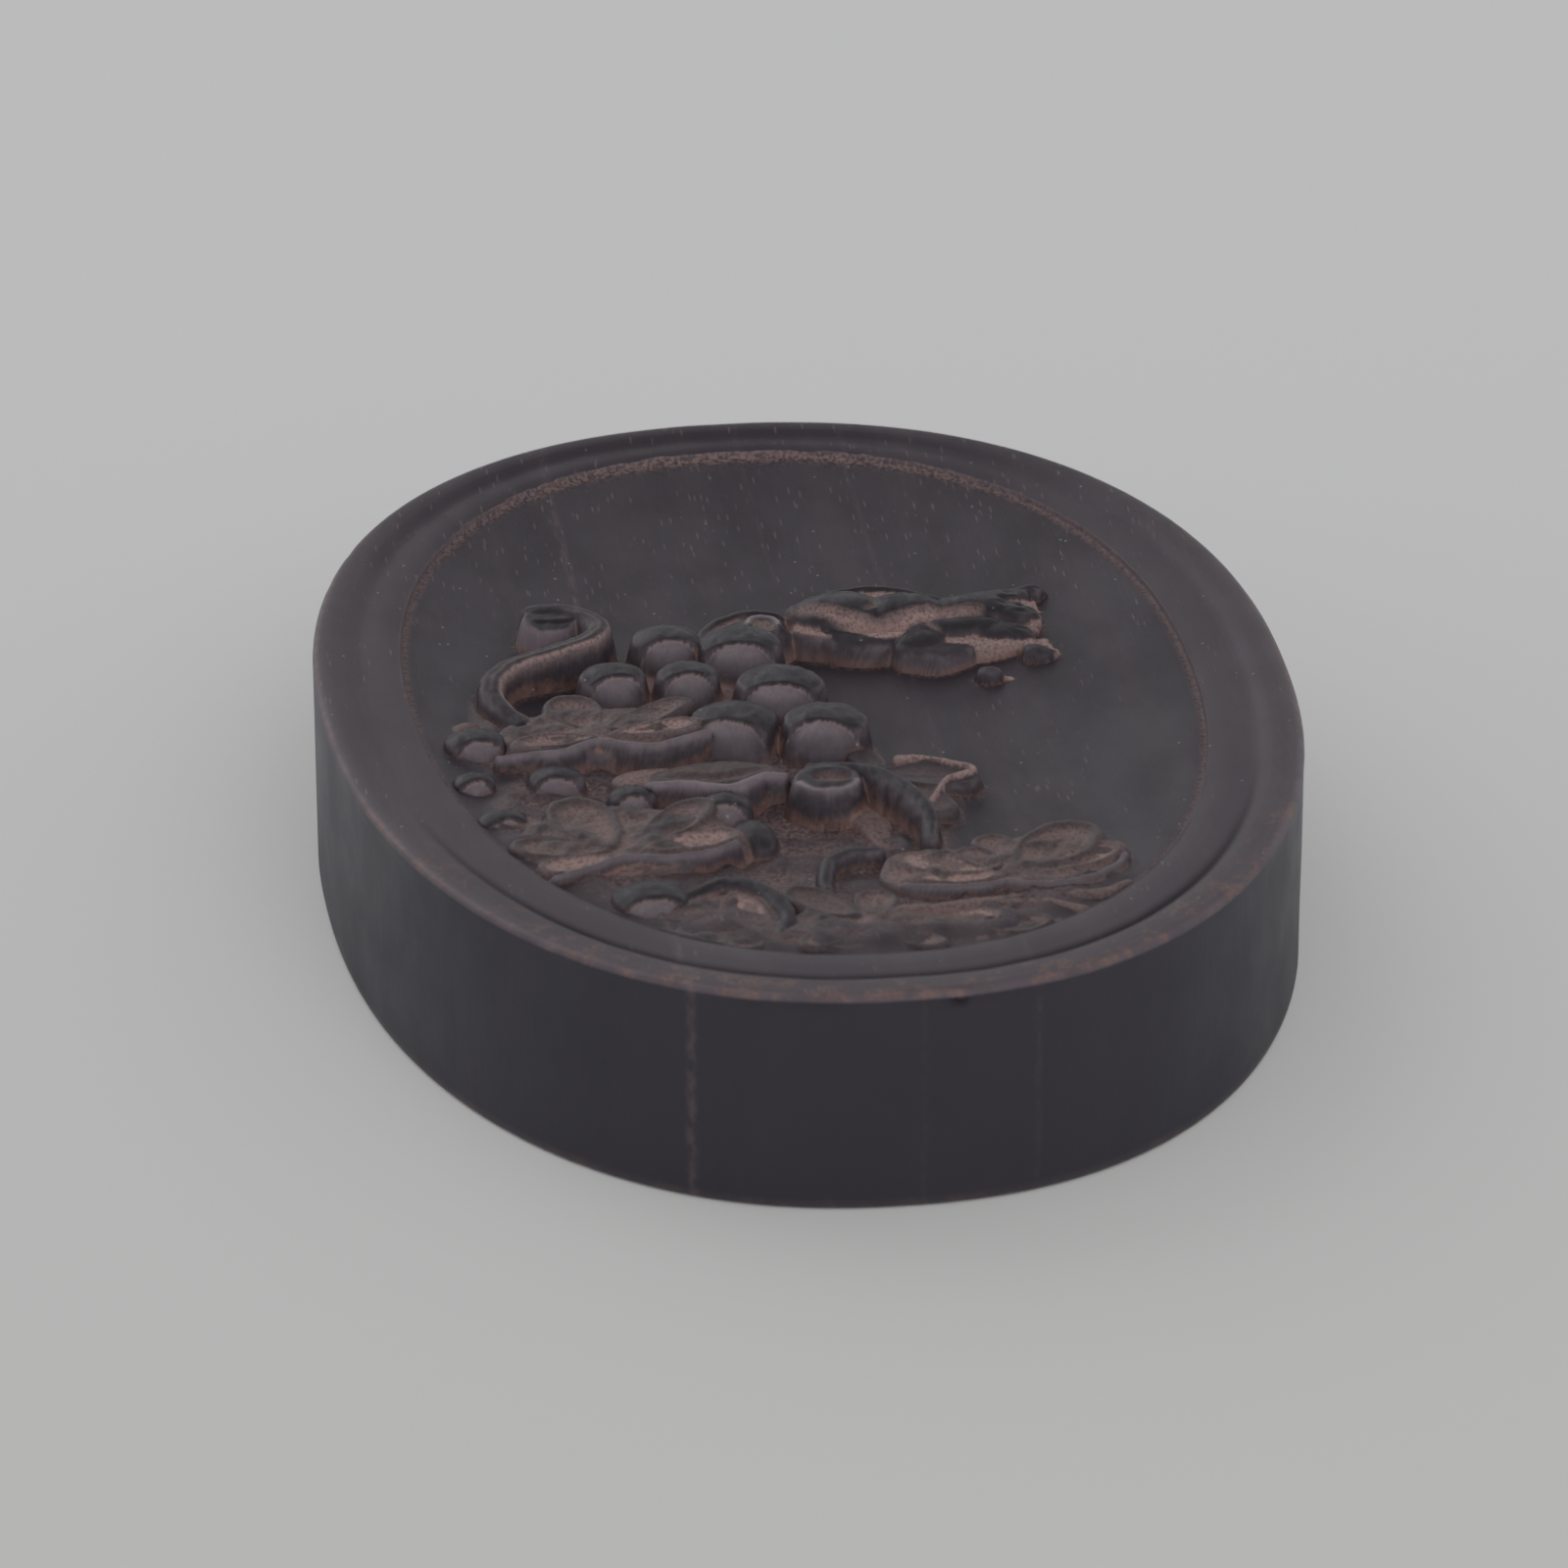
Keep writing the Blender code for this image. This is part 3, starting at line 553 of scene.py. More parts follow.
def carve_window(node, shape, reach):
    """Runs a motif's shape on the part of the grid around its CAD node."""
    low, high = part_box(node)
    rows = slice(*np.searchsorted(carving.y, (low.y / MM - reach, high.y / MM + reach)))
    columns = slice(*np.searchsorted(carving.x, (low.x / MM - reach, high.x / MM + reach)))
    window = (rows, columns)
    carved = shape(carving.X[window] + warp_x[window], carving.Y[window] + warp_y[window])
    floor = floor_map[window]
    height = np.clip(carved[0], floor - 3 * SINK, TOP - 0.02)
    height = blur(height, 0.075 / GRID) + tool_marks[window] * (carved[0] > floor)
    height = np.minimum(height, edge_limit[window])
    return window, np.stack([height, blur(carved[1], 0.05 / GRID), blur(carved[2], 0.05 / GRID)])


everything = form(np.full(carving.X.shape, DEEP))
carved_nodes = {}
for node, (shape, reach) in MOTIFS.items():
    window, carved = carve_window(node, shape, reach)
    carved_nodes[node] = (window, carved[0])
    everything[(slice(None), *window)] = highest(everything[(slice(None), *window)], carved)
relief_map = everything[0]

# Between the motifs the ground was left a little proud of the dish, rough from the chisel.
BED_RISE = 0.46
BED_FOLDS = 0.40
standing = (relief_map > floor_map + 0.3).astype(float)
behind = 1 - ((carving.X + 7.5) / 14.5) ** 2 - ((carving.Y + 16.5) / 17.5) ** 2
front = 1 - ((carving.X - 3.0) / 15.0) ** 2 - ((carving.Y + 28.5) / 7.0) ** 2
crowded = np.clip(blur(standing, 1.4 / GRID) * 3.0 - 0.9, 0, 1) * np.clip((5.0 - carving.Y) / 3, 0, 1)
crowded = np.maximum(crowded, np.clip(np.maximum(behind, front) * 5, 0, 1))
crowded = crowded * np.clip((0.98 - field_share) * 14, 0, 1)
folds = 1 - 2 * np.abs(noise(carving.X + 0.6 * carving.Y, carving.Y, 3.1, 2.3, 7))
folds = np.where(folds > 0, folds, 0.5 * folds) + 0.35 * noise(carving.X, carving.Y, 1.1, 0.8, 8)
bed_map = floor_map + crowded * np.clip(BED_RISE + BED_FOLDS * folds, 0.05, 1.3)
bed_map = bed_map + 0.012 * noise(carving.X, carving.Y, 2.0, 5.0, 9)
surface_map = np.maximum(relief_map, bed_map)
on_relief = relief_map > bed_map

# What the wood's finish follows: recesses, sharp edges, creases, steep walls and polished crowns.
soft = blur(surface_map, 0.9 / GRID)
fine = blur(surface_map, 0.20 / GRID)
gy, gx = np.gradient(blur(surface_map, 0.06 / GRID), GRID)
slope = np.hypot(gx, gy)
near_wall = blur(np.clip((slope - 1.2) / 1.5, 0, 1), 0.25 / GRID)
ATTRIBUTES = {
    "recess": np.clip((soft - surface_map) / 0.8, 0, 1),
    "edge": np.clip((surface_map - fine - 0.02) / 0.14, 0, 1),
    "crease": np.clip((fine - surface_map - 0.02) / 0.12, 0, 1),
    "wall": np.clip((slope - 0.9) / 2.2, 0, 1),
    "crown": np.clip((surface_map - (TOP - 2.2)) / 1.2, 0, 1) * np.clip(1.15 - slope / 2.2, 0, 1) * on_relief,
    "rawness_and_painted_light": np.where(on_relief, everything[1], 0.0),
    "warm": np.maximum(np.where(on_relief, everything[2], 0.0),
                       crowded * np.clip(0.62 - 0.45 * folds, 0, 0.9) * (~on_relief)),
}
wall_foot = near_wall * (~on_relief)


def write_attributes(mesh, values):
    for name, data in values.items():
        layer = mesh.attributes.new(name, "FLOAT", "POINT")
        layer.data.foreach_set("value", np.asarray(data, np.float32).ravel())


def add_object(name, data):
    item = bpy.data.objects.new(name, data)
    bpy.context.scene.collection.objects.link(item)
    return item


def mesh_from(name, points, quads):
    mesh = bpy.data.meshes.new(name)
    mesh.vertices.add(len(points))
    mesh.vertices.foreach_set("co", (points * MM).astype(np.float32).ravel())
    mesh.loops.add(quads.size)
    mesh.loops.foreach_set("vertex_index", quads.astype(np.int32).ravel())
    mesh.polygons.add(len(quads))
    mesh.polygons.foreach_set("loop_start", np.arange(0, quads.size, 4, dtype=np.int32))
    mesh.update(calc_edges=True)
    mesh.validate()
    mesh.shade_smooth()
    return add_object(name, mesh)


def relief_solid(name, window, height):
    """A closed solid: the carved top, a skirt that runs down into the block, and a floor inside it."""
    x, y, floor = carving.X[window], carving.Y[window], floor_map[window]
    inside = height > floor - CUT_OFF
    cells = inside[:-1, :-1] & inside[1:, :-1] & inside[:-1, 1:] & inside[1:, 1:]
    used = np.zeros(height.shape, bool)
    for dy in (0, 1):
        for dx in (0, 1):
            used[dy:dy + cells.shape[0], dx:dx + cells.shape[1]] |= cells
    index = np.full(height.shape, -1)
    count = int(used.sum())
    index[used] = np.arange(count)
    top = np.stack([x[used], y[used], height[used]], 1)
    base = top.copy()
    base[:, 2] = floor[used] - SINK - 0.2
    r, c = np.nonzero(cells)
    corners = np.stack([index[r, c], index[r, c + 1], index[r + 1, c + 1], index[r + 1, c]], 1)
    quads = [corners, corners[:, ::-1] + count]
    padded = np.pad(cells, 1)
    for dr, dc, first, second in ((-1, 0, 0, 1), (0, 1, 1, 2), (1, 0, 2, 3), (0, -1, 3, 0)):
        open_side = ~padded[1 + r + dr, 1 + c + dc]
        a, b = corners[open_side, first], corners[open_side, second]
        quads.append(np.stack([b, a, a + count, b + count], 1))
    piece = mesh_from(name, np.vstack([top, base]), np.vstack(quads))
    write_attributes(piece.data, {key: np.tile(field[window][used], 2) for key, field in ATTRIBUTES.items()})
    return piece


RINGS_PER_FIELD = 84
STEPS_ROUND = 640
FOOT_CHAMFER = 0.35
RIM_END = 0.965
# The rim's drop below the top against the share of the way from the block's outline to the field's.
RIM_SHARES = (0.0, 0.012, 0.03, 0.06, 0.12, 0.22, 0.32, 0.39, 0.46, 0.53, 0.62, 0.72, 0.82, 0.90, RIM_END)
RIM_DROPS = (0.34, 0.18, 0.08, 0.03, 0.0, 0.02, 0.10, 0.24, 0.42, 0.50, 0.49, 0.48, 0.52, 0.60, 0.69)
# A groove on the near side of the rim, painted dark as painted shade, and a notch in the near top edge.
GROOVE_SHARE = 0.47
GROOVE_DEPTH = 0.18
NOTCH_X = 3.0
NOTCH_DEPTH = 0.22
# What each ring carries after its points' x, y and z, for the block's wood.
RING_VALUES = ("edge", "crease", "crown", "rim", "ragged", "painted_shade_groove", "rubbed")


def oval_outline(angle, half_x, half_y, centre_y):
    power = 2 / ROUNDNESS
    c, s = np.cos(angle), np.sin(angle)
    u = np.sign(c) * np.abs(c) ** power
    v = np.sign(s) * np.abs(s) ** power
    return u * half_x * (1 + EGG * v), centre_y + v * half_y


def block_rings():
    """Rings from the middle of the underside, up the wall, over the rim and down into the field's middle."""
    turn = np.arange(STEPS_ROUND) * 2 * math.pi / STEPS_ROUND
    outer_x, outer_y = oval_outline(turn, HALF_X_MID, HALF_Y, 0.0)
    inner_x, inner_y = oval_outline(turn, FIELD_HALF_X, FIELD_HALF_Y, FIELD_SHIFT_Y)
    far = np.clip(np.sin(turn), 0, 1)
    near_side = np.clip(-2.2 * np.sin(turn) - 0.7, 0, 1)
    rows = []

    def between(share):
        return outer_x + (inner_x - outer_x) * share, outer_y + (inner_y - outer_y) * share

    def row(*values):
        """Takes x, y, z and then the ring values in their order; what is left out is 0."""
        full = list(values) + [0.0] * (3 + len(RING_VALUES) - len(values))
        rows.append([value + np.zeros(STEPS_ROUND) for value in full])

    for shrink in (0.3, 0.7, 0.97):
        row(outer_x * shrink, outer_y * shrink, 0.0)
    inset = 1 - FOOT_CHAMFER / HALF_X
    row(outer_x * inset, outer_y * inset, 0.0, 0.3)
    row(outer_x * (1 - 0.3 * FOOT_CHAMFER / HALF_X), outer_y * (1 - 0.3 * FOOT_CHAMFER / HALF_X), 0.1, 0.7)
    row(outer_x, outer_y, FOOT_CHAMFER, 0.3)
    for z in np.linspace(0.8, TOP - 0.42, 16):
        sway = 1 + 0.0009 * noise(outer_x + 50, outer_y + z * 0.6, 3.0, 3.0, 21) - 0.0004
        row(outer_x * sway, outer_y * sway, z)
    chip = np.clip(noise(outer_x, outer_y, 2.2, 2.2, 22) - 0.45, 0, 1) * 0.12
    notch = NOTCH_DEPTH * np.exp(-((outer_x - NOTCH_X) / 0.55) ** 2) * (outer_y < 0)
    for share in np.unique(np.concatenate([np.linspace(0, 0.06, 8), np.linspace(0.06, RIM_END, 33)])):
        drop = np.interp(share, RIM_SHARES, RIM_DROPS)
        x, y = between(share)
        worn = (chip + notch) * math.exp(-(share / 0.04) ** 2)
        ripple = 0.025 * noise(x, y, 2.4, 3.2, 23) * min(1, share * 8)
        near_edge = math.exp(-((share - 0.03) / 0.035) ** 2)
        # The near groove is cut in, and the same mask paints it dark as painted shade.
        groove = near_side * math.exp(-((share - GROOVE_SHARE) / 0.045) ** 2)
        # The edge value paints the block's outer top edge pale as a painted highlight.
        edge = near_edge * (0.75 + 0.25 * noise(x, y, 1.1, 1.1, 24))
        crown = math.exp(-((share - 0.10) / 0.07) ** 2) * (1 - 0.9 * far)
        rubbed = (0.15 + 0.85 * near_side) * math.exp(-((share - 0.17) / 0.17) ** 4)
        height = TOP - drop - worn - GROOVE_DEPTH * groove + ripple
        # The rim value fades on the far side, so that the rim is painted paler on the near side as painted
        # light.
        row(x, y, height, edge, 0.0, crown, 1 - 0.8 * far, 0.0, groove, rubbed)
    wander = (0.0035 * noise(inner_x, inner_y, 1.7, 1.7, 25)
              + 0.006 * far ** 3 * noise(inner_x, inner_y, 0.7, 0.7, 26))
    for share, z, edge, crease in ((0.972, TOP - 0.69, 0.4, 0.0), (0.980, TOP - 0.74, 0.9, 0.1),
                                   (0.986, TOP - 0.98, 0.4, 0.7), (0.993, FIELD_EDGE_Z - 0.06, 0.0, 0.8)):
        x, y = between(share + wander)
        rough_step = 0.12 * far ** 3 * noise(x, y, 0.6, 0.6, 27)
        row(x, y, z + rough_step * (share < 0.99), edge * (0.55 + 0.45 * far ** 2), crease, 0.0, 0.6,
            far ** 3)
    for k in range(RINGS_PER_FIELD):
        share = 0.992 * (1 - k / RINGS_PER_FIELD)
        x, y = inner_x * share, FIELD_SHIFT_Y + (inner_y - FIELD_SHIFT_Y) * share
        z = carving.sample(bed_map, x, y) - (0.03 if k == 0 else 0)
        row(x, y, z, 0.0, 0.7 if k == 0 else 0.0, 0.0, 0.0, far ** 3 * math.exp(-k))
    return rows


def make_block():
    rows = np.array(block_rings())
    count = rows.shape[0]
    points = np.stack([rows[:, k].ravel() for k in range(3)], 1)
    middle_z = carving.sample(bed_map, np.zeros(1), np.full(1, FIELD_SHIFT_Y))[0]
    points = np.vstack([points, [[0, 0, 0], [0, FIELD_SHIFT_Y, middle_z]]])
    r, s = np.meshgrid(np.arange(count - 1), np.arange(STEPS_ROUND), indexing="ij")
    here, there = r * STEPS_ROUND + s, r * STEPS_ROUND + (s + 1) % STEPS_ROUND
    quads = np.stack([here, there, there + STEPS_ROUND, here + STEPS_ROUND], -1).reshape(-1, 4).tolist()
    last = (count - 1) * STEPS_ROUND
    bottom, middle = len(points) - 2, len(points) - 1
    fans = [((k + 1) % STEPS_ROUND, k, bottom) for k in range(STEPS_ROUND)]
    fans += [(last + k, last + (k + 1) % STEPS_ROUND, middle) for k in range(STEPS_ROUND)]
    mesh = bpy.data.meshes.new("carved_block")
    mesh.from_pydata((points * MM).tolist(), [], quads + fans)
    mesh.shade_smooth()
    block = add_object("carved_block", mesh)
    field = np.arange(len(points)) >= last - (RINGS_PER_FIELD - 1) * STEPS_ROUND
    values = {name: np.append(rows[:, k].ravel(), (0.0, 0.0)) for k, name in enumerate(RING_VALUES, 3)}

    def on_field(data):
        return np.where(field, carving.sample(data, points[:, 0], points[:, 1]), 0.0)

    values["crease"] = np.maximum(values["crease"], on_field(ATTRIBUTES["crease"]) * 0.5)
    values["warm"] = on_field(ATTRIBUTES["warm"])
    values["base"] = on_field(wall_foot)
    write_attributes(mesh, values)
    return block


# ---------------------------------------------------------------- wood

SPECULAR_TINT = (1.0, 0.93, 0.97, 1.0)
BLOCK_GLOSS = 0.32
CARVED_GLOSS = 0.35


class Shader:
    """A short way to write node trees: every call adds a node and returns its output socket."""

    def __init__(self, name):
        self.material = bpy.data.materials.new(name)
        self.material.use_nodes = True
        self.tree = self.material.node_tree
        self.surface = self.tree.nodes["Principled BSDF"]

    def node(self, kind, inputs=(), output=0, **settings):
        item = self.tree.nodes.new(kind)
        for key, value in settings.items():
            setattr(item, key, value)
        for key, value in dict(inputs).items():
            if isinstance(value, bpy.types.NodeSocket):
                self.tree.links.new(value, item.inputs[key])
            else:
                item.inputs[key].default_value = value
        return item.outputs[output]

    def attributes(self, *names):
        return [self.node("ShaderNodeAttribute", output="Fac", attribute_name=name) for name in names]

    def coordinates(self):
        return self.node("ShaderNodeTexCoord", output="Object")

    def place(self, scale, offset=(0, 0, 0)):
        """Object coordinates in millimetres, stretched by one cell size for each axis."""
        coordinates = self.coordinates()
        size = [1 / (MM * cell) for cell in scale]
        return self.node("ShaderNodeMapping", {"Vector": coordinates, "Scale": size, "Location": offset})

    def noise(self, cell, detail=2.0, rough=0.5, offset=(0, 0, 0)):
        return self.node("ShaderNodeTexNoise",
                         {"Vector": self.place(cell, offset), "Scale": 1.0, "Detail": detail,
                          "Roughness": rough}, "Fac")

    def spots(self, cell, offset=(0, 0, 0)):
        """Distance from the nearest of a scatter of points."""
        return self.node("ShaderNodeTexVoronoi", {"Vector": self.place(cell, offset), "Scale": 1.0},
                         "Distance")

    def math(self, operation, a, b=0.0, clamp=False):
        return self.node("ShaderNodeMath", {0: a, 1: b}, operation=operation, use_clamp=clamp)

    def times(self, *factors):
        result = factors[0]
        for factor in factors[1:]:
            result = self.math("MULTIPLY", result, factor)
        return result

    def span(self, value, low, high, out_low=0.0, out_high=1.0):
        """Rescales low..high to out_low..out_high with smooth ends."""
        return self.node("ShaderNodeMapRange",
                         {"Value": value, "From Min": low, "From Max": high, "To Min": out_low,
                          "To Max": out_high}, interpolation_type="SMOOTHSTEP")

    def mix(self, amount, a, b):
        """Mixes two colours."""
        item = self.tree.nodes.new("ShaderNodeMix")
        item.data_type = "RGBA"
        for key, value in ((0, amount), (6, a), (7, b)):
            if isinstance(value, bpy.types.NodeSocket):
                self.tree.links.new(value, item.inputs[key])
            else:
                item.inputs[key].default_value = (*value, 1.0) if isinstance(value, tuple) else value
        return item.outputs[2]

    def blend(self, amount, a, b):
        """Mixes two numbers."""
        return self.math("ADD", self.times(a, self.math("SUBTRACT", 1.0, amount)), self.times(b, amount))

    def finish(self, colour, roughness, height, depth_mm, gloss=0.5):
        tree = self.tree
        tree.links.new(colour, self.surface.inputs["Base Color"])
        tree.links.new(roughness, self.surface.inputs["Roughness"])
        bump = self.node("ShaderNodeBump", {"Height": height, "Distance": depth_mm * MM, "Strength": 1.0},
                         "Normal")
        tree.links.new(bump, self.surface.inputs["Normal"])
        self.surface.inputs["Specular IOR Level"].default_value = gloss
        self.surface.inputs["Specular Tint"].default_value = SPECULAR_TINT
        return self.material


DARK = (0.0290, 0.0222, 0.0305)
BLACK = (0.0110, 0.0090, 0.0120)
BROWN = (0.0460, 0.0340, 0.0345)
# Pale raw wood; the same colour paints a highlight on the block's edges and painted light on its rim.
RAW_WOOD_AND_PAINTED_LIGHT = (0.215, 0.172, 0.188)
WARM = (0.275, 0.184, 0.170)
# The block's faces that do not look up are painted in this bluer, slightly lighter colour, as painted light
# on the walls.
SIDE = (0.0270, 0.0262, 0.0345)
RUST = (0.215, 0.112, 0.078)
DUST = (0.38, 0.35, 0.34)
PAPER = (0.890, 0.890, 0.905)
PAPER_FIBRE = (0.905, 0.905, 0.920)
# The paper's colour near the camera, darker and yellower as painted shade.
PAPER_NEAR_SHADE = (0.740, 0.743, 0.705)


def grain(s):
    """Long fibres along Y in a dark ground, with a few browner growth layers across X."""
    layers = s.noise((3.5, 90.0, 60.0), 3.0, 0.6)
    fibres = s.noise((0.16, 6.0, 4.0), 3.0, 0.6)
    tone = s.mix(s.span(layers, 0.40, 0.70, 0.0, 0.30), DARK, BROWN)
    return s.mix(s.span(fibres, 0.50, 0.78, 0.0, 0.40), tone, BROWN), fibres


def pores(s):
    """Short open pores: dashes along Y, in patches."""
    dots = s.spots((0.42, 2.6, 1.6))
    far = s.node("ShaderNodeSeparateXYZ", {"Vector": s.place((1, 1, 1))}, 1)
    patches = s.span(s.noise((3.5, 9.0, 6.0), 1.0), 0.50, 0.66)
    return s.times(s.span(dots, 0.22, 0.11), s.math("MAXIMUM", patches, s.span(far, 14, 24, 0.0, 0.8)))


def specks(s):
    """Bright dust: single grains, thick only in a few places."""
    dots = s.spots((0.9, 0.9, 0.9), (3.3, 1.7, 0.0))
    few = s.span(s.noise((1.6, 1.6, 1.6), 0.0, 0.5, (9, 4, 0)), 0.60, 0.68)
    return s.times(s.span(dots, 0.12, 0.06), few)


def scratches(s):
    """A few hair-thin marks at two slants."""
    coordinates = s.coordinates()
    marks = 0.0
    for turn, offset in ((0.5, 0.0), (-0.9, 7.0)):
        slanted = s.node("ShaderNodeMapping", {"Vector": coordinates, "Rotation": (0, 0, turn),
                                               "Scale": (1 / (1.3 * MM), 1 / (7.0 * MM), 1 / (7.0 * MM)),
                                               "Location": (offset, offset, 0)})
        dots = s.node("ShaderNodeTexVoronoi", {"Vector": slanted, "Scale": 1.0}, "Distance")
        patches = s.span(s.noise((6.0, 6.0, 6.0), 0.0, 0.5, (offset, 2, 1)), 0.52, 0.62)
        marks = s.math("ADD", marks, s.times(s.span(dots, 0.030, 0.012), patches))
    return marks


def growth_lines(s):
    """A few thin pale layers that run up the wall at one X each and along the top."""
    coordinates = s.coordinates()
    x = s.node("ShaderNodeSeparateXYZ", {"Vector": coordinates}, 0)
    wander = s.noise((40.0, 40.0, 2.2), 2.0, 0.6)
    lines = 0.0
    for place, width, strength in ((-12.2, 0.42, 0.9), (0.9, 0.30, 0.25), (7.7, 0.34, 0.4)):
        offset = s.math("SUBTRACT", s.math("MULTIPLY", x, 1 / MM), place)
        sway = s.math("MULTIPLY", s.math("SUBTRACT", wander, 0.5), 0.7)
        offset = s.math("ABSOLUTE", s.math("ADD", offset, sway))
        lines = s.math("ADD", lines, s.times(s.span(offset, width, 0.0), strength))
    broken = s.span(s.noise((0.5, 2.5, 1.1), 3.0, 0.7, (5, 5, 5)), 0.36, 0.62)
    return s.times(lines, broken)


def block_wood():
    s = Shader("block_wood")
    colour, fibres = grain(s)
    dashes, lines = pores(s), growth_lines(s)
    cloud = s.noise((5.0, 9.0, 9.0), 4.0, 0.6)
    fine = s.noise((0.25, 0.25, 0.25), 3.0, 0.6)
    worn_patch = s.span(s.noise((1.3, 1.3, 1.3), 3.0, 0.65), 0.48, 0.66)
    edge, crease, rim, warm, ragged = s.attributes("edge", "crease", "rim", "warm", "ragged")
    crown, painted_shade_groove, base, rubbed = s.attributes("crown", "painted_shade_groove", "base", "rubbed")
    colour = s.mix(s.span(cloud, 0.4, 0.7, 0.0, 0.22), colour, BLACK)
    normal = s.node("ShaderNodeNewGeometry", output="Normal")
    up = s.span(s.node("ShaderNodeSeparateXYZ", {"Vector": normal}, 2), 0.3, 0.7)
    # Painted light: faces that do not look up are painted bluer and a little lighter than the top.
    colour = s.mix(s.span(up, 0.0, 1.0, 0.7, 0.0), colour, SIDE)
    dashes = s.times(dashes, up)
    colour = s.mix(s.times(dashes, 0.22), colour, WARM)
    colour = s.mix(s.times(lines, 0.16), colour, WARM)
    # Painted light: the rim is painted paler, most on the near side and least on the far side.
    colour = s.mix(s.times(rim, s.span(cloud, 0.35, 0.65, 0.07, 0.12)), colour, RAW_WOOD_AND_PAINTED_LIGHT)
    # Painted shade: the groove on the near side of the rim is painted nearly black.
    colour = s.mix(s.times(painted_shade_groove, 0.95), colour, BLACK)
    colour = s.mix(s.times(rubbed, s.span(fine, 0.3, 0.6, 0.0, 0.05)), colour, WARM)
    colour = s.mix(s.times(rubbed, worn_patch, s.span(fine, 0.36, 0.58), 0.45), colour, RUST)
    colour = s.mix(s.times(warm, s.span(fine, 0.35, 0.62, 0.18, 0.62)), colour, WARM)
    colour = s.mix(s.times(base, s.span(fine, 0.40, 0.62), 0.6), colour, WARM)
    colour = s.mix(s.times(crease, s.span(fine, 0.35, 0.6, 0.10, 0.42)), colour, WARM)
    # Painted highlight: sharp top edges are painted pale as a thin bright line.
    colour = s.mix(s.times(edge, 0.32), colour, RAW_WOOD_AND_PAINTED_LIGHT)
    colour = s.mix(s.times(edge, worn_patch, 0.35), colour, RUST)
    colour = s.mix(s.times(ragged, s.span(fine, 0.42, 0.6), 0.50), colour, WARM)
    marks = s.math("ADD", specks(s), s.times(scratches(s), 0.35))
    colour = s.mix(s.times(marks, up, 0.45), colour, DUST)
    rough = s.blend(rim, s.span(cloud, 0.3, 0.7, 0.47, 0.57), s.span(cloud, 0.3, 0.7, 0.48, 0.58))
    rough = s.blend(s.math("MAXIMUM", warm, crease), rough, 0.72)
    rough = s.blend(s.times(crown, 0.4), rough, 0.32)
    rough = s.blend(painted_shade_groove, rough, 0.85)
    height = s.math("ADD", s.times(fibres, 0.35), s.times(fine, s.math("ADD", 0.3, s.times(warm, 0.6))))
    return s.finish(colour, rough, s.math("SUBTRACT", height, s.times(dashes, 0.6)), 0.035, BLOCK_GLOSS)


def carved_wood():
    s = Shader("carved_wood")
    colour, fibres = grain(s)
    fine = s.noise((0.22, 0.22, 0.22), 3.0, 0.6)
    patch = s.noise((1.1, 1.1, 1.1), 2.0, 0.5)
    flutes = s.noise((0.20, 0.35, 5.0), 2.0, 0.6)
    edge, crease, recess, wall = s.attributes("edge", "crease", "recess", "wall")
    crown, rawness_and_painted_light, warm = s.attributes("crown", "rawness_and_painted_light", "warm")
    colour = s.mix(s.times(wall, s.span(flutes, 0.3, 0.7, 0.03, 0.10)), colour, RAW_WOOD_AND_PAINTED_LIGHT)
    colour = s.mix(s.times(crown, 0.9), colour, BLACK)
    colour = s.mix(s.times(recess, s.span(patch, 0.35, 0.6, 0.15, 0.55)), colour, WARM)
    # Pale raw wood, together with the painted highlight lines on lips and the painted shade on grape faces
    # that this value also carries.
    colour = s.mix(s.times(rawness_and_painted_light, s.span(flutes, 0.2, 0.8, 0.80, 1.0)), colour, RAW_WOOD_AND_PAINTED_LIGHT)
    colour = s.mix(s.times(warm, s.span(fine, 0.3, 0.6, 0.40, 1.0)), colour, WARM)
    colour = s.mix(s.times(s.span(crease, 0.3, 0.9), s.span(fine, 0.35, 0.6, 0.08, 0.42)), colour, RUST)
    colour = s.mix(s.times(edge, s.span(patch, 0.4, 0.62, 0.04, 0.25)), colour, RAW_WOOD_AND_PAINTED_LIGHT)
    colour = s.mix(s.times(specks(s), 0.4), colour, DUST)
    rough = s.blend(crown, s.span(fine, 0.3, 0.7, 0.50, 0.62), s.span(patch, 0.3, 0.7, 0.42, 0.54))
    rough = s.blend(s.times(rawness_and_painted_light, 0.8), rough, 0.42)
    rough = s.blend(warm, rough, 0.72)
    bumps = s.math("ADD", s.times(fine, s.math("ADD", 0.25, s.times(warm, 0.4))), s.times(flutes, wall, 0.35))
    return s.finish(colour, rough, s.math("ADD", s.times(fibres, 0.3), bumps), 0.04, CARVED_GLOSS)


# ---------------------------------------------------------------- setting

NEAR_LIGHT = 1.52
FAR_LIGHT = 0.64
ZENITH_LIGHT = 0.42
CAMERA_TARGET = Vector((-1.35, 0.68, TOP / 2 - 0.02)) * MM
CAMERA_TURN = math.radians(7.8)
CAMERA_RISE = math.radians(25.5)
CAMERA_DISTANCE = 486.9 * MM
CAMERA_LENS = 180
SENSOR_WIDTH = 36
FOCUS_PAST_TARGET = 7 * MM
APERTURE = 80
# Each light's name, place and size in metres, and power in watts.
LIGHTS = (
    ("window", (-0.55, 0.80, 0.75), 1.2, 3.4),
    ("fill", (0.3, -1.0, 0.9), 0.8, 3.0),
)
# The floor's profile: how far back, and how high, in metres.
FLOOR_PROFILE = ((-0.6, 0.0), (0.75, 0.0), (1.2, 0.0), (1.9, 0.05), (2.4, 0.4), (2.6, 1.4))


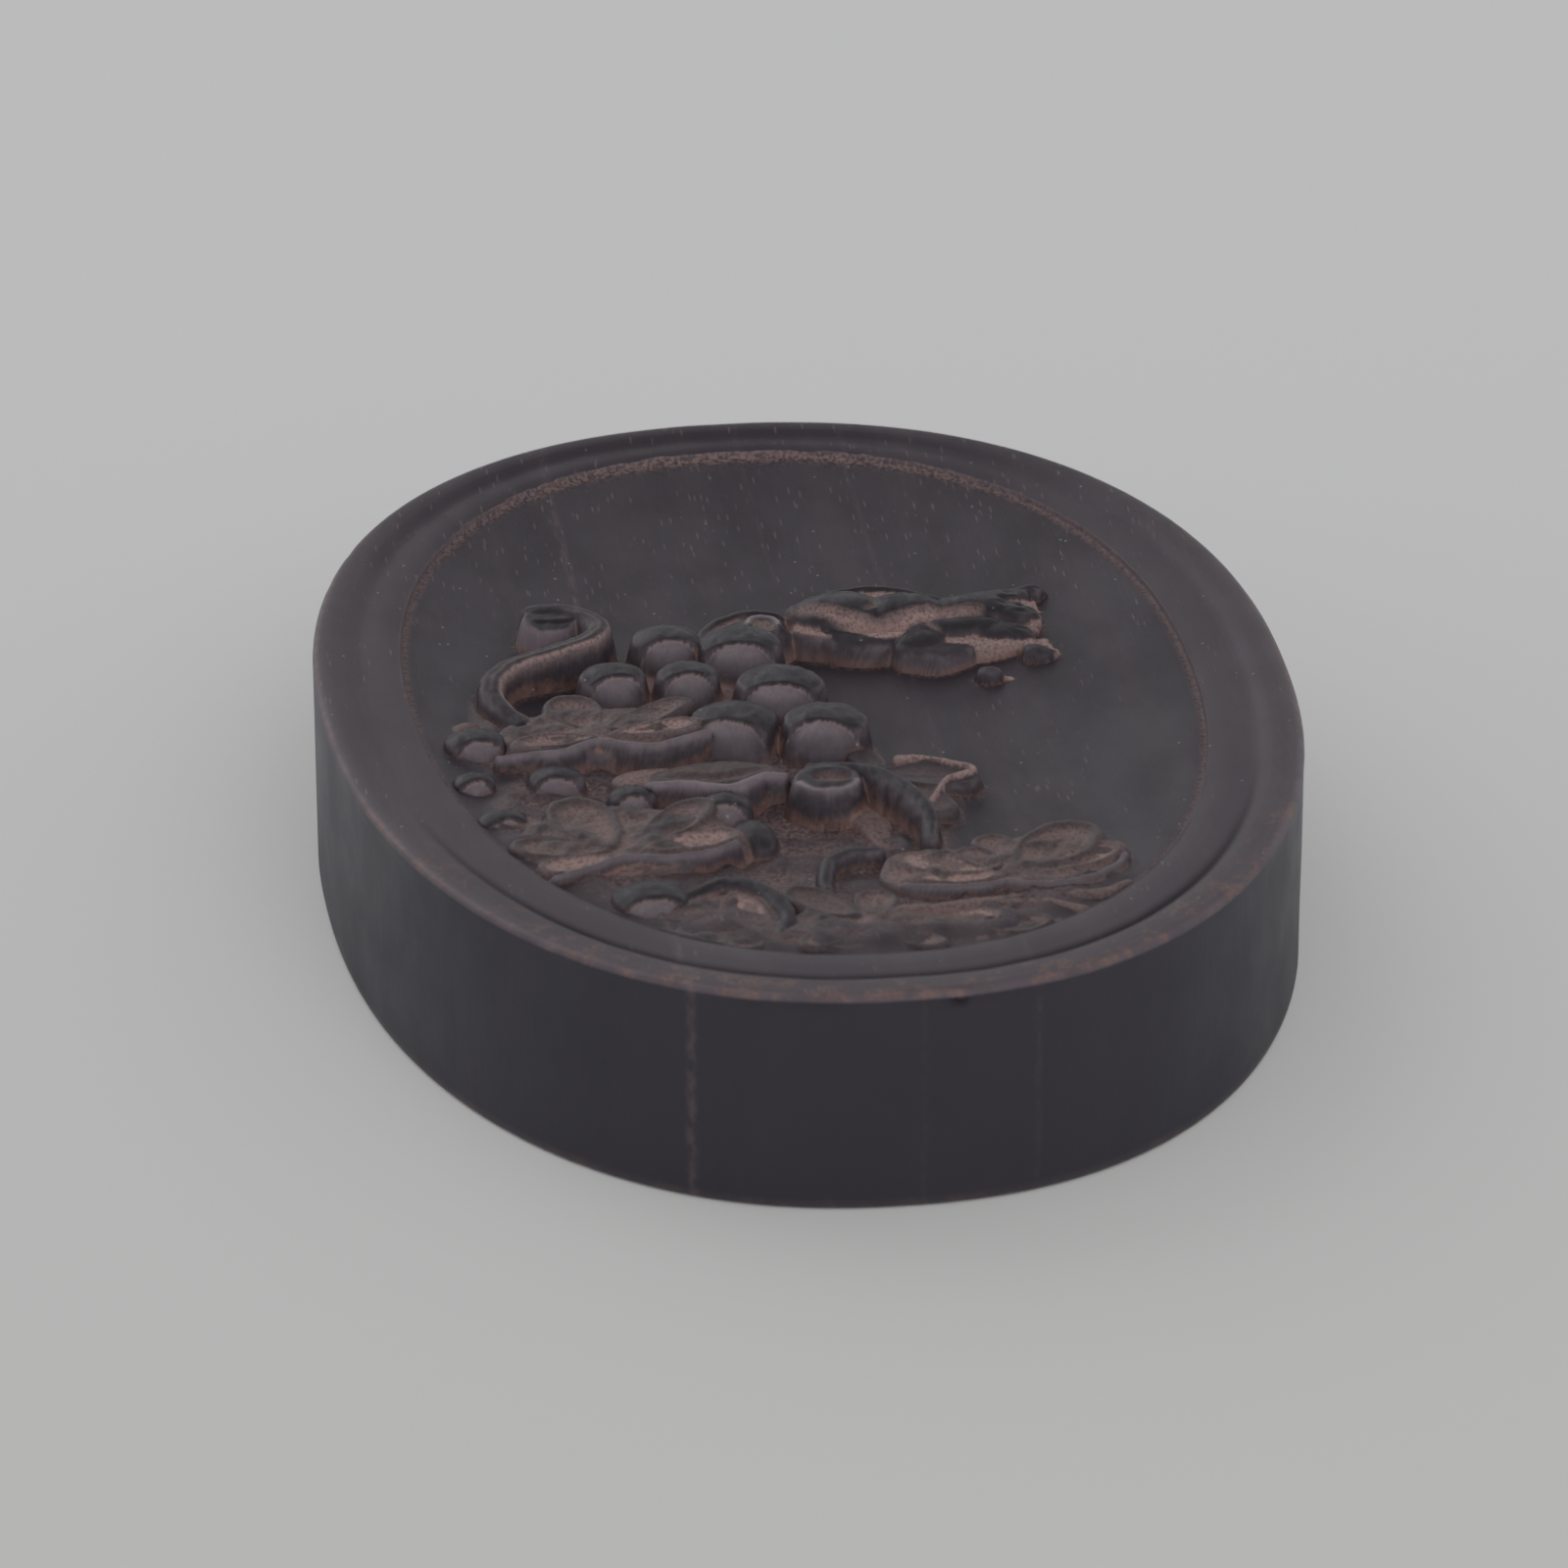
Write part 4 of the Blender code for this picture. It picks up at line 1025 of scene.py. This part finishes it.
def make_room():
    """Soft light from all round: bright on the near side at the height of windows, dim overhead."""
    world = bpy.data.worlds.new("room")
    world.use_nodes = True
    tree = world.node_tree
    direction = tree.nodes.new("ShaderNodeTexCoord").outputs["Generated"]
    split = tree.nodes.new("ShaderNodeSeparateXYZ")
    tree.links.new(direction, split.inputs["Vector"])
    background = tree.nodes["Background"]
    background.inputs["Color"].default_value = (0.98, 0.985, 1.0, 1.0)
    sides = tree.nodes.new("ShaderNodeMapRange")
    rise = tree.nodes.new("ShaderNodeMapRange")
    for fade, source, low, high in ((sides, "Y", -1.0, 1.0), (rise, "Z", 0.0, 1.0)):
        fade.inputs["From Min"].default_value = low
        fade.inputs["From Max"].default_value = high
        tree.links.new(split.outputs[source], fade.inputs["Value"])
    sides.inputs["To Min"].default_value = NEAR_LIGHT
    sides.inputs["To Max"].default_value = FAR_LIGHT
    rise.inputs["To Max"].default_value = ZENITH_LIGHT
    tree.links.new(sides.outputs["Result"], rise.inputs["To Min"])
    tree.links.new(rise.outputs["Result"], background.inputs["Strength"])
    bpy.context.scene.world = world


def make_setting():
    """A pale paper floor that runs up behind the block, soft lights and the camera."""
    mesh = bpy.data.meshes.new("floor")
    points = [(x, y, z) for y, z in FLOOR_PROFILE for x in (-2.0, 2.0)]
    strips = [(2 * k, 2 * k + 1, 2 * k + 3, 2 * k + 2) for k in range(len(FLOOR_PROFILE) - 1)]
    mesh.from_pydata(points, [], strips)
    mesh.shade_smooth()
    floor = add_object("floor", mesh)
    s = Shader("paper")
    fibre = s.noise((0.8, 0.8, 0.8), 4.0, 0.6)
    colour = s.mix(s.span(fibre, 0.3, 0.7), PAPER, PAPER_FIBRE)
    coordinates = s.coordinates()
    # Painted shade: the paper is painted darker and a little yellower towards the camera.
    near = s.span(s.node("ShaderNodeSeparateXYZ", {"Vector": coordinates}, 1), 0.10, -0.08)
    colour = s.mix(s.times(near, 0.8), colour, PAPER_NEAR_SHADE)
    floor.data.materials.append(s.finish(colour, s.span(fibre, 0.3, 0.7, 0.86, 0.94), fibre, 0.02))

    make_room()
    for name, place, size, power in LIGHTS:
        light = bpy.data.lights.new(name, "AREA")
        light.shape = "DISK"
        light.size = size
        light.energy = power
        lamp = add_object(name, light)
        lamp.location = place
        lamp.rotation_euler = (-Vector(place)).to_track_quat("-Z", "Y").to_euler()

    camera = add_object("camera", bpy.data.cameras.new("camera"))
    level = math.cos(CAMERA_RISE)
    back = Vector((-math.sin(CAMERA_TURN) * level, -math.cos(CAMERA_TURN) * level, math.sin(CAMERA_RISE)))
    camera.location = CAMERA_TARGET + back * CAMERA_DISTANCE
    camera.rotation_euler = (-back).to_track_quat("-Z", "Y").to_euler()
    camera.data.lens = CAMERA_LENS
    camera.data.sensor_width = SENSOR_WIDTH
    camera.data.clip_start = 0.01
    camera.data.dof.use_dof = True
    camera.data.dof.focus_distance = CAMERA_DISTANCE + FOCUS_PAST_TARGET
    camera.data.dof.aperture_fstop = APERTURE
    bpy.context.scene.camera = camera


block = make_block()
block.data.materials.append(block_wood())
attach(block, "root")
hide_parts("oval_block")

relief_material = carved_wood()
for node, (window, height) in carved_nodes.items():
    piece = relief_solid("carved_" + node, window, height)
    piece.data.materials.append(relief_material)
    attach(piece, "root")
    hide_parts(node)

make_setting()
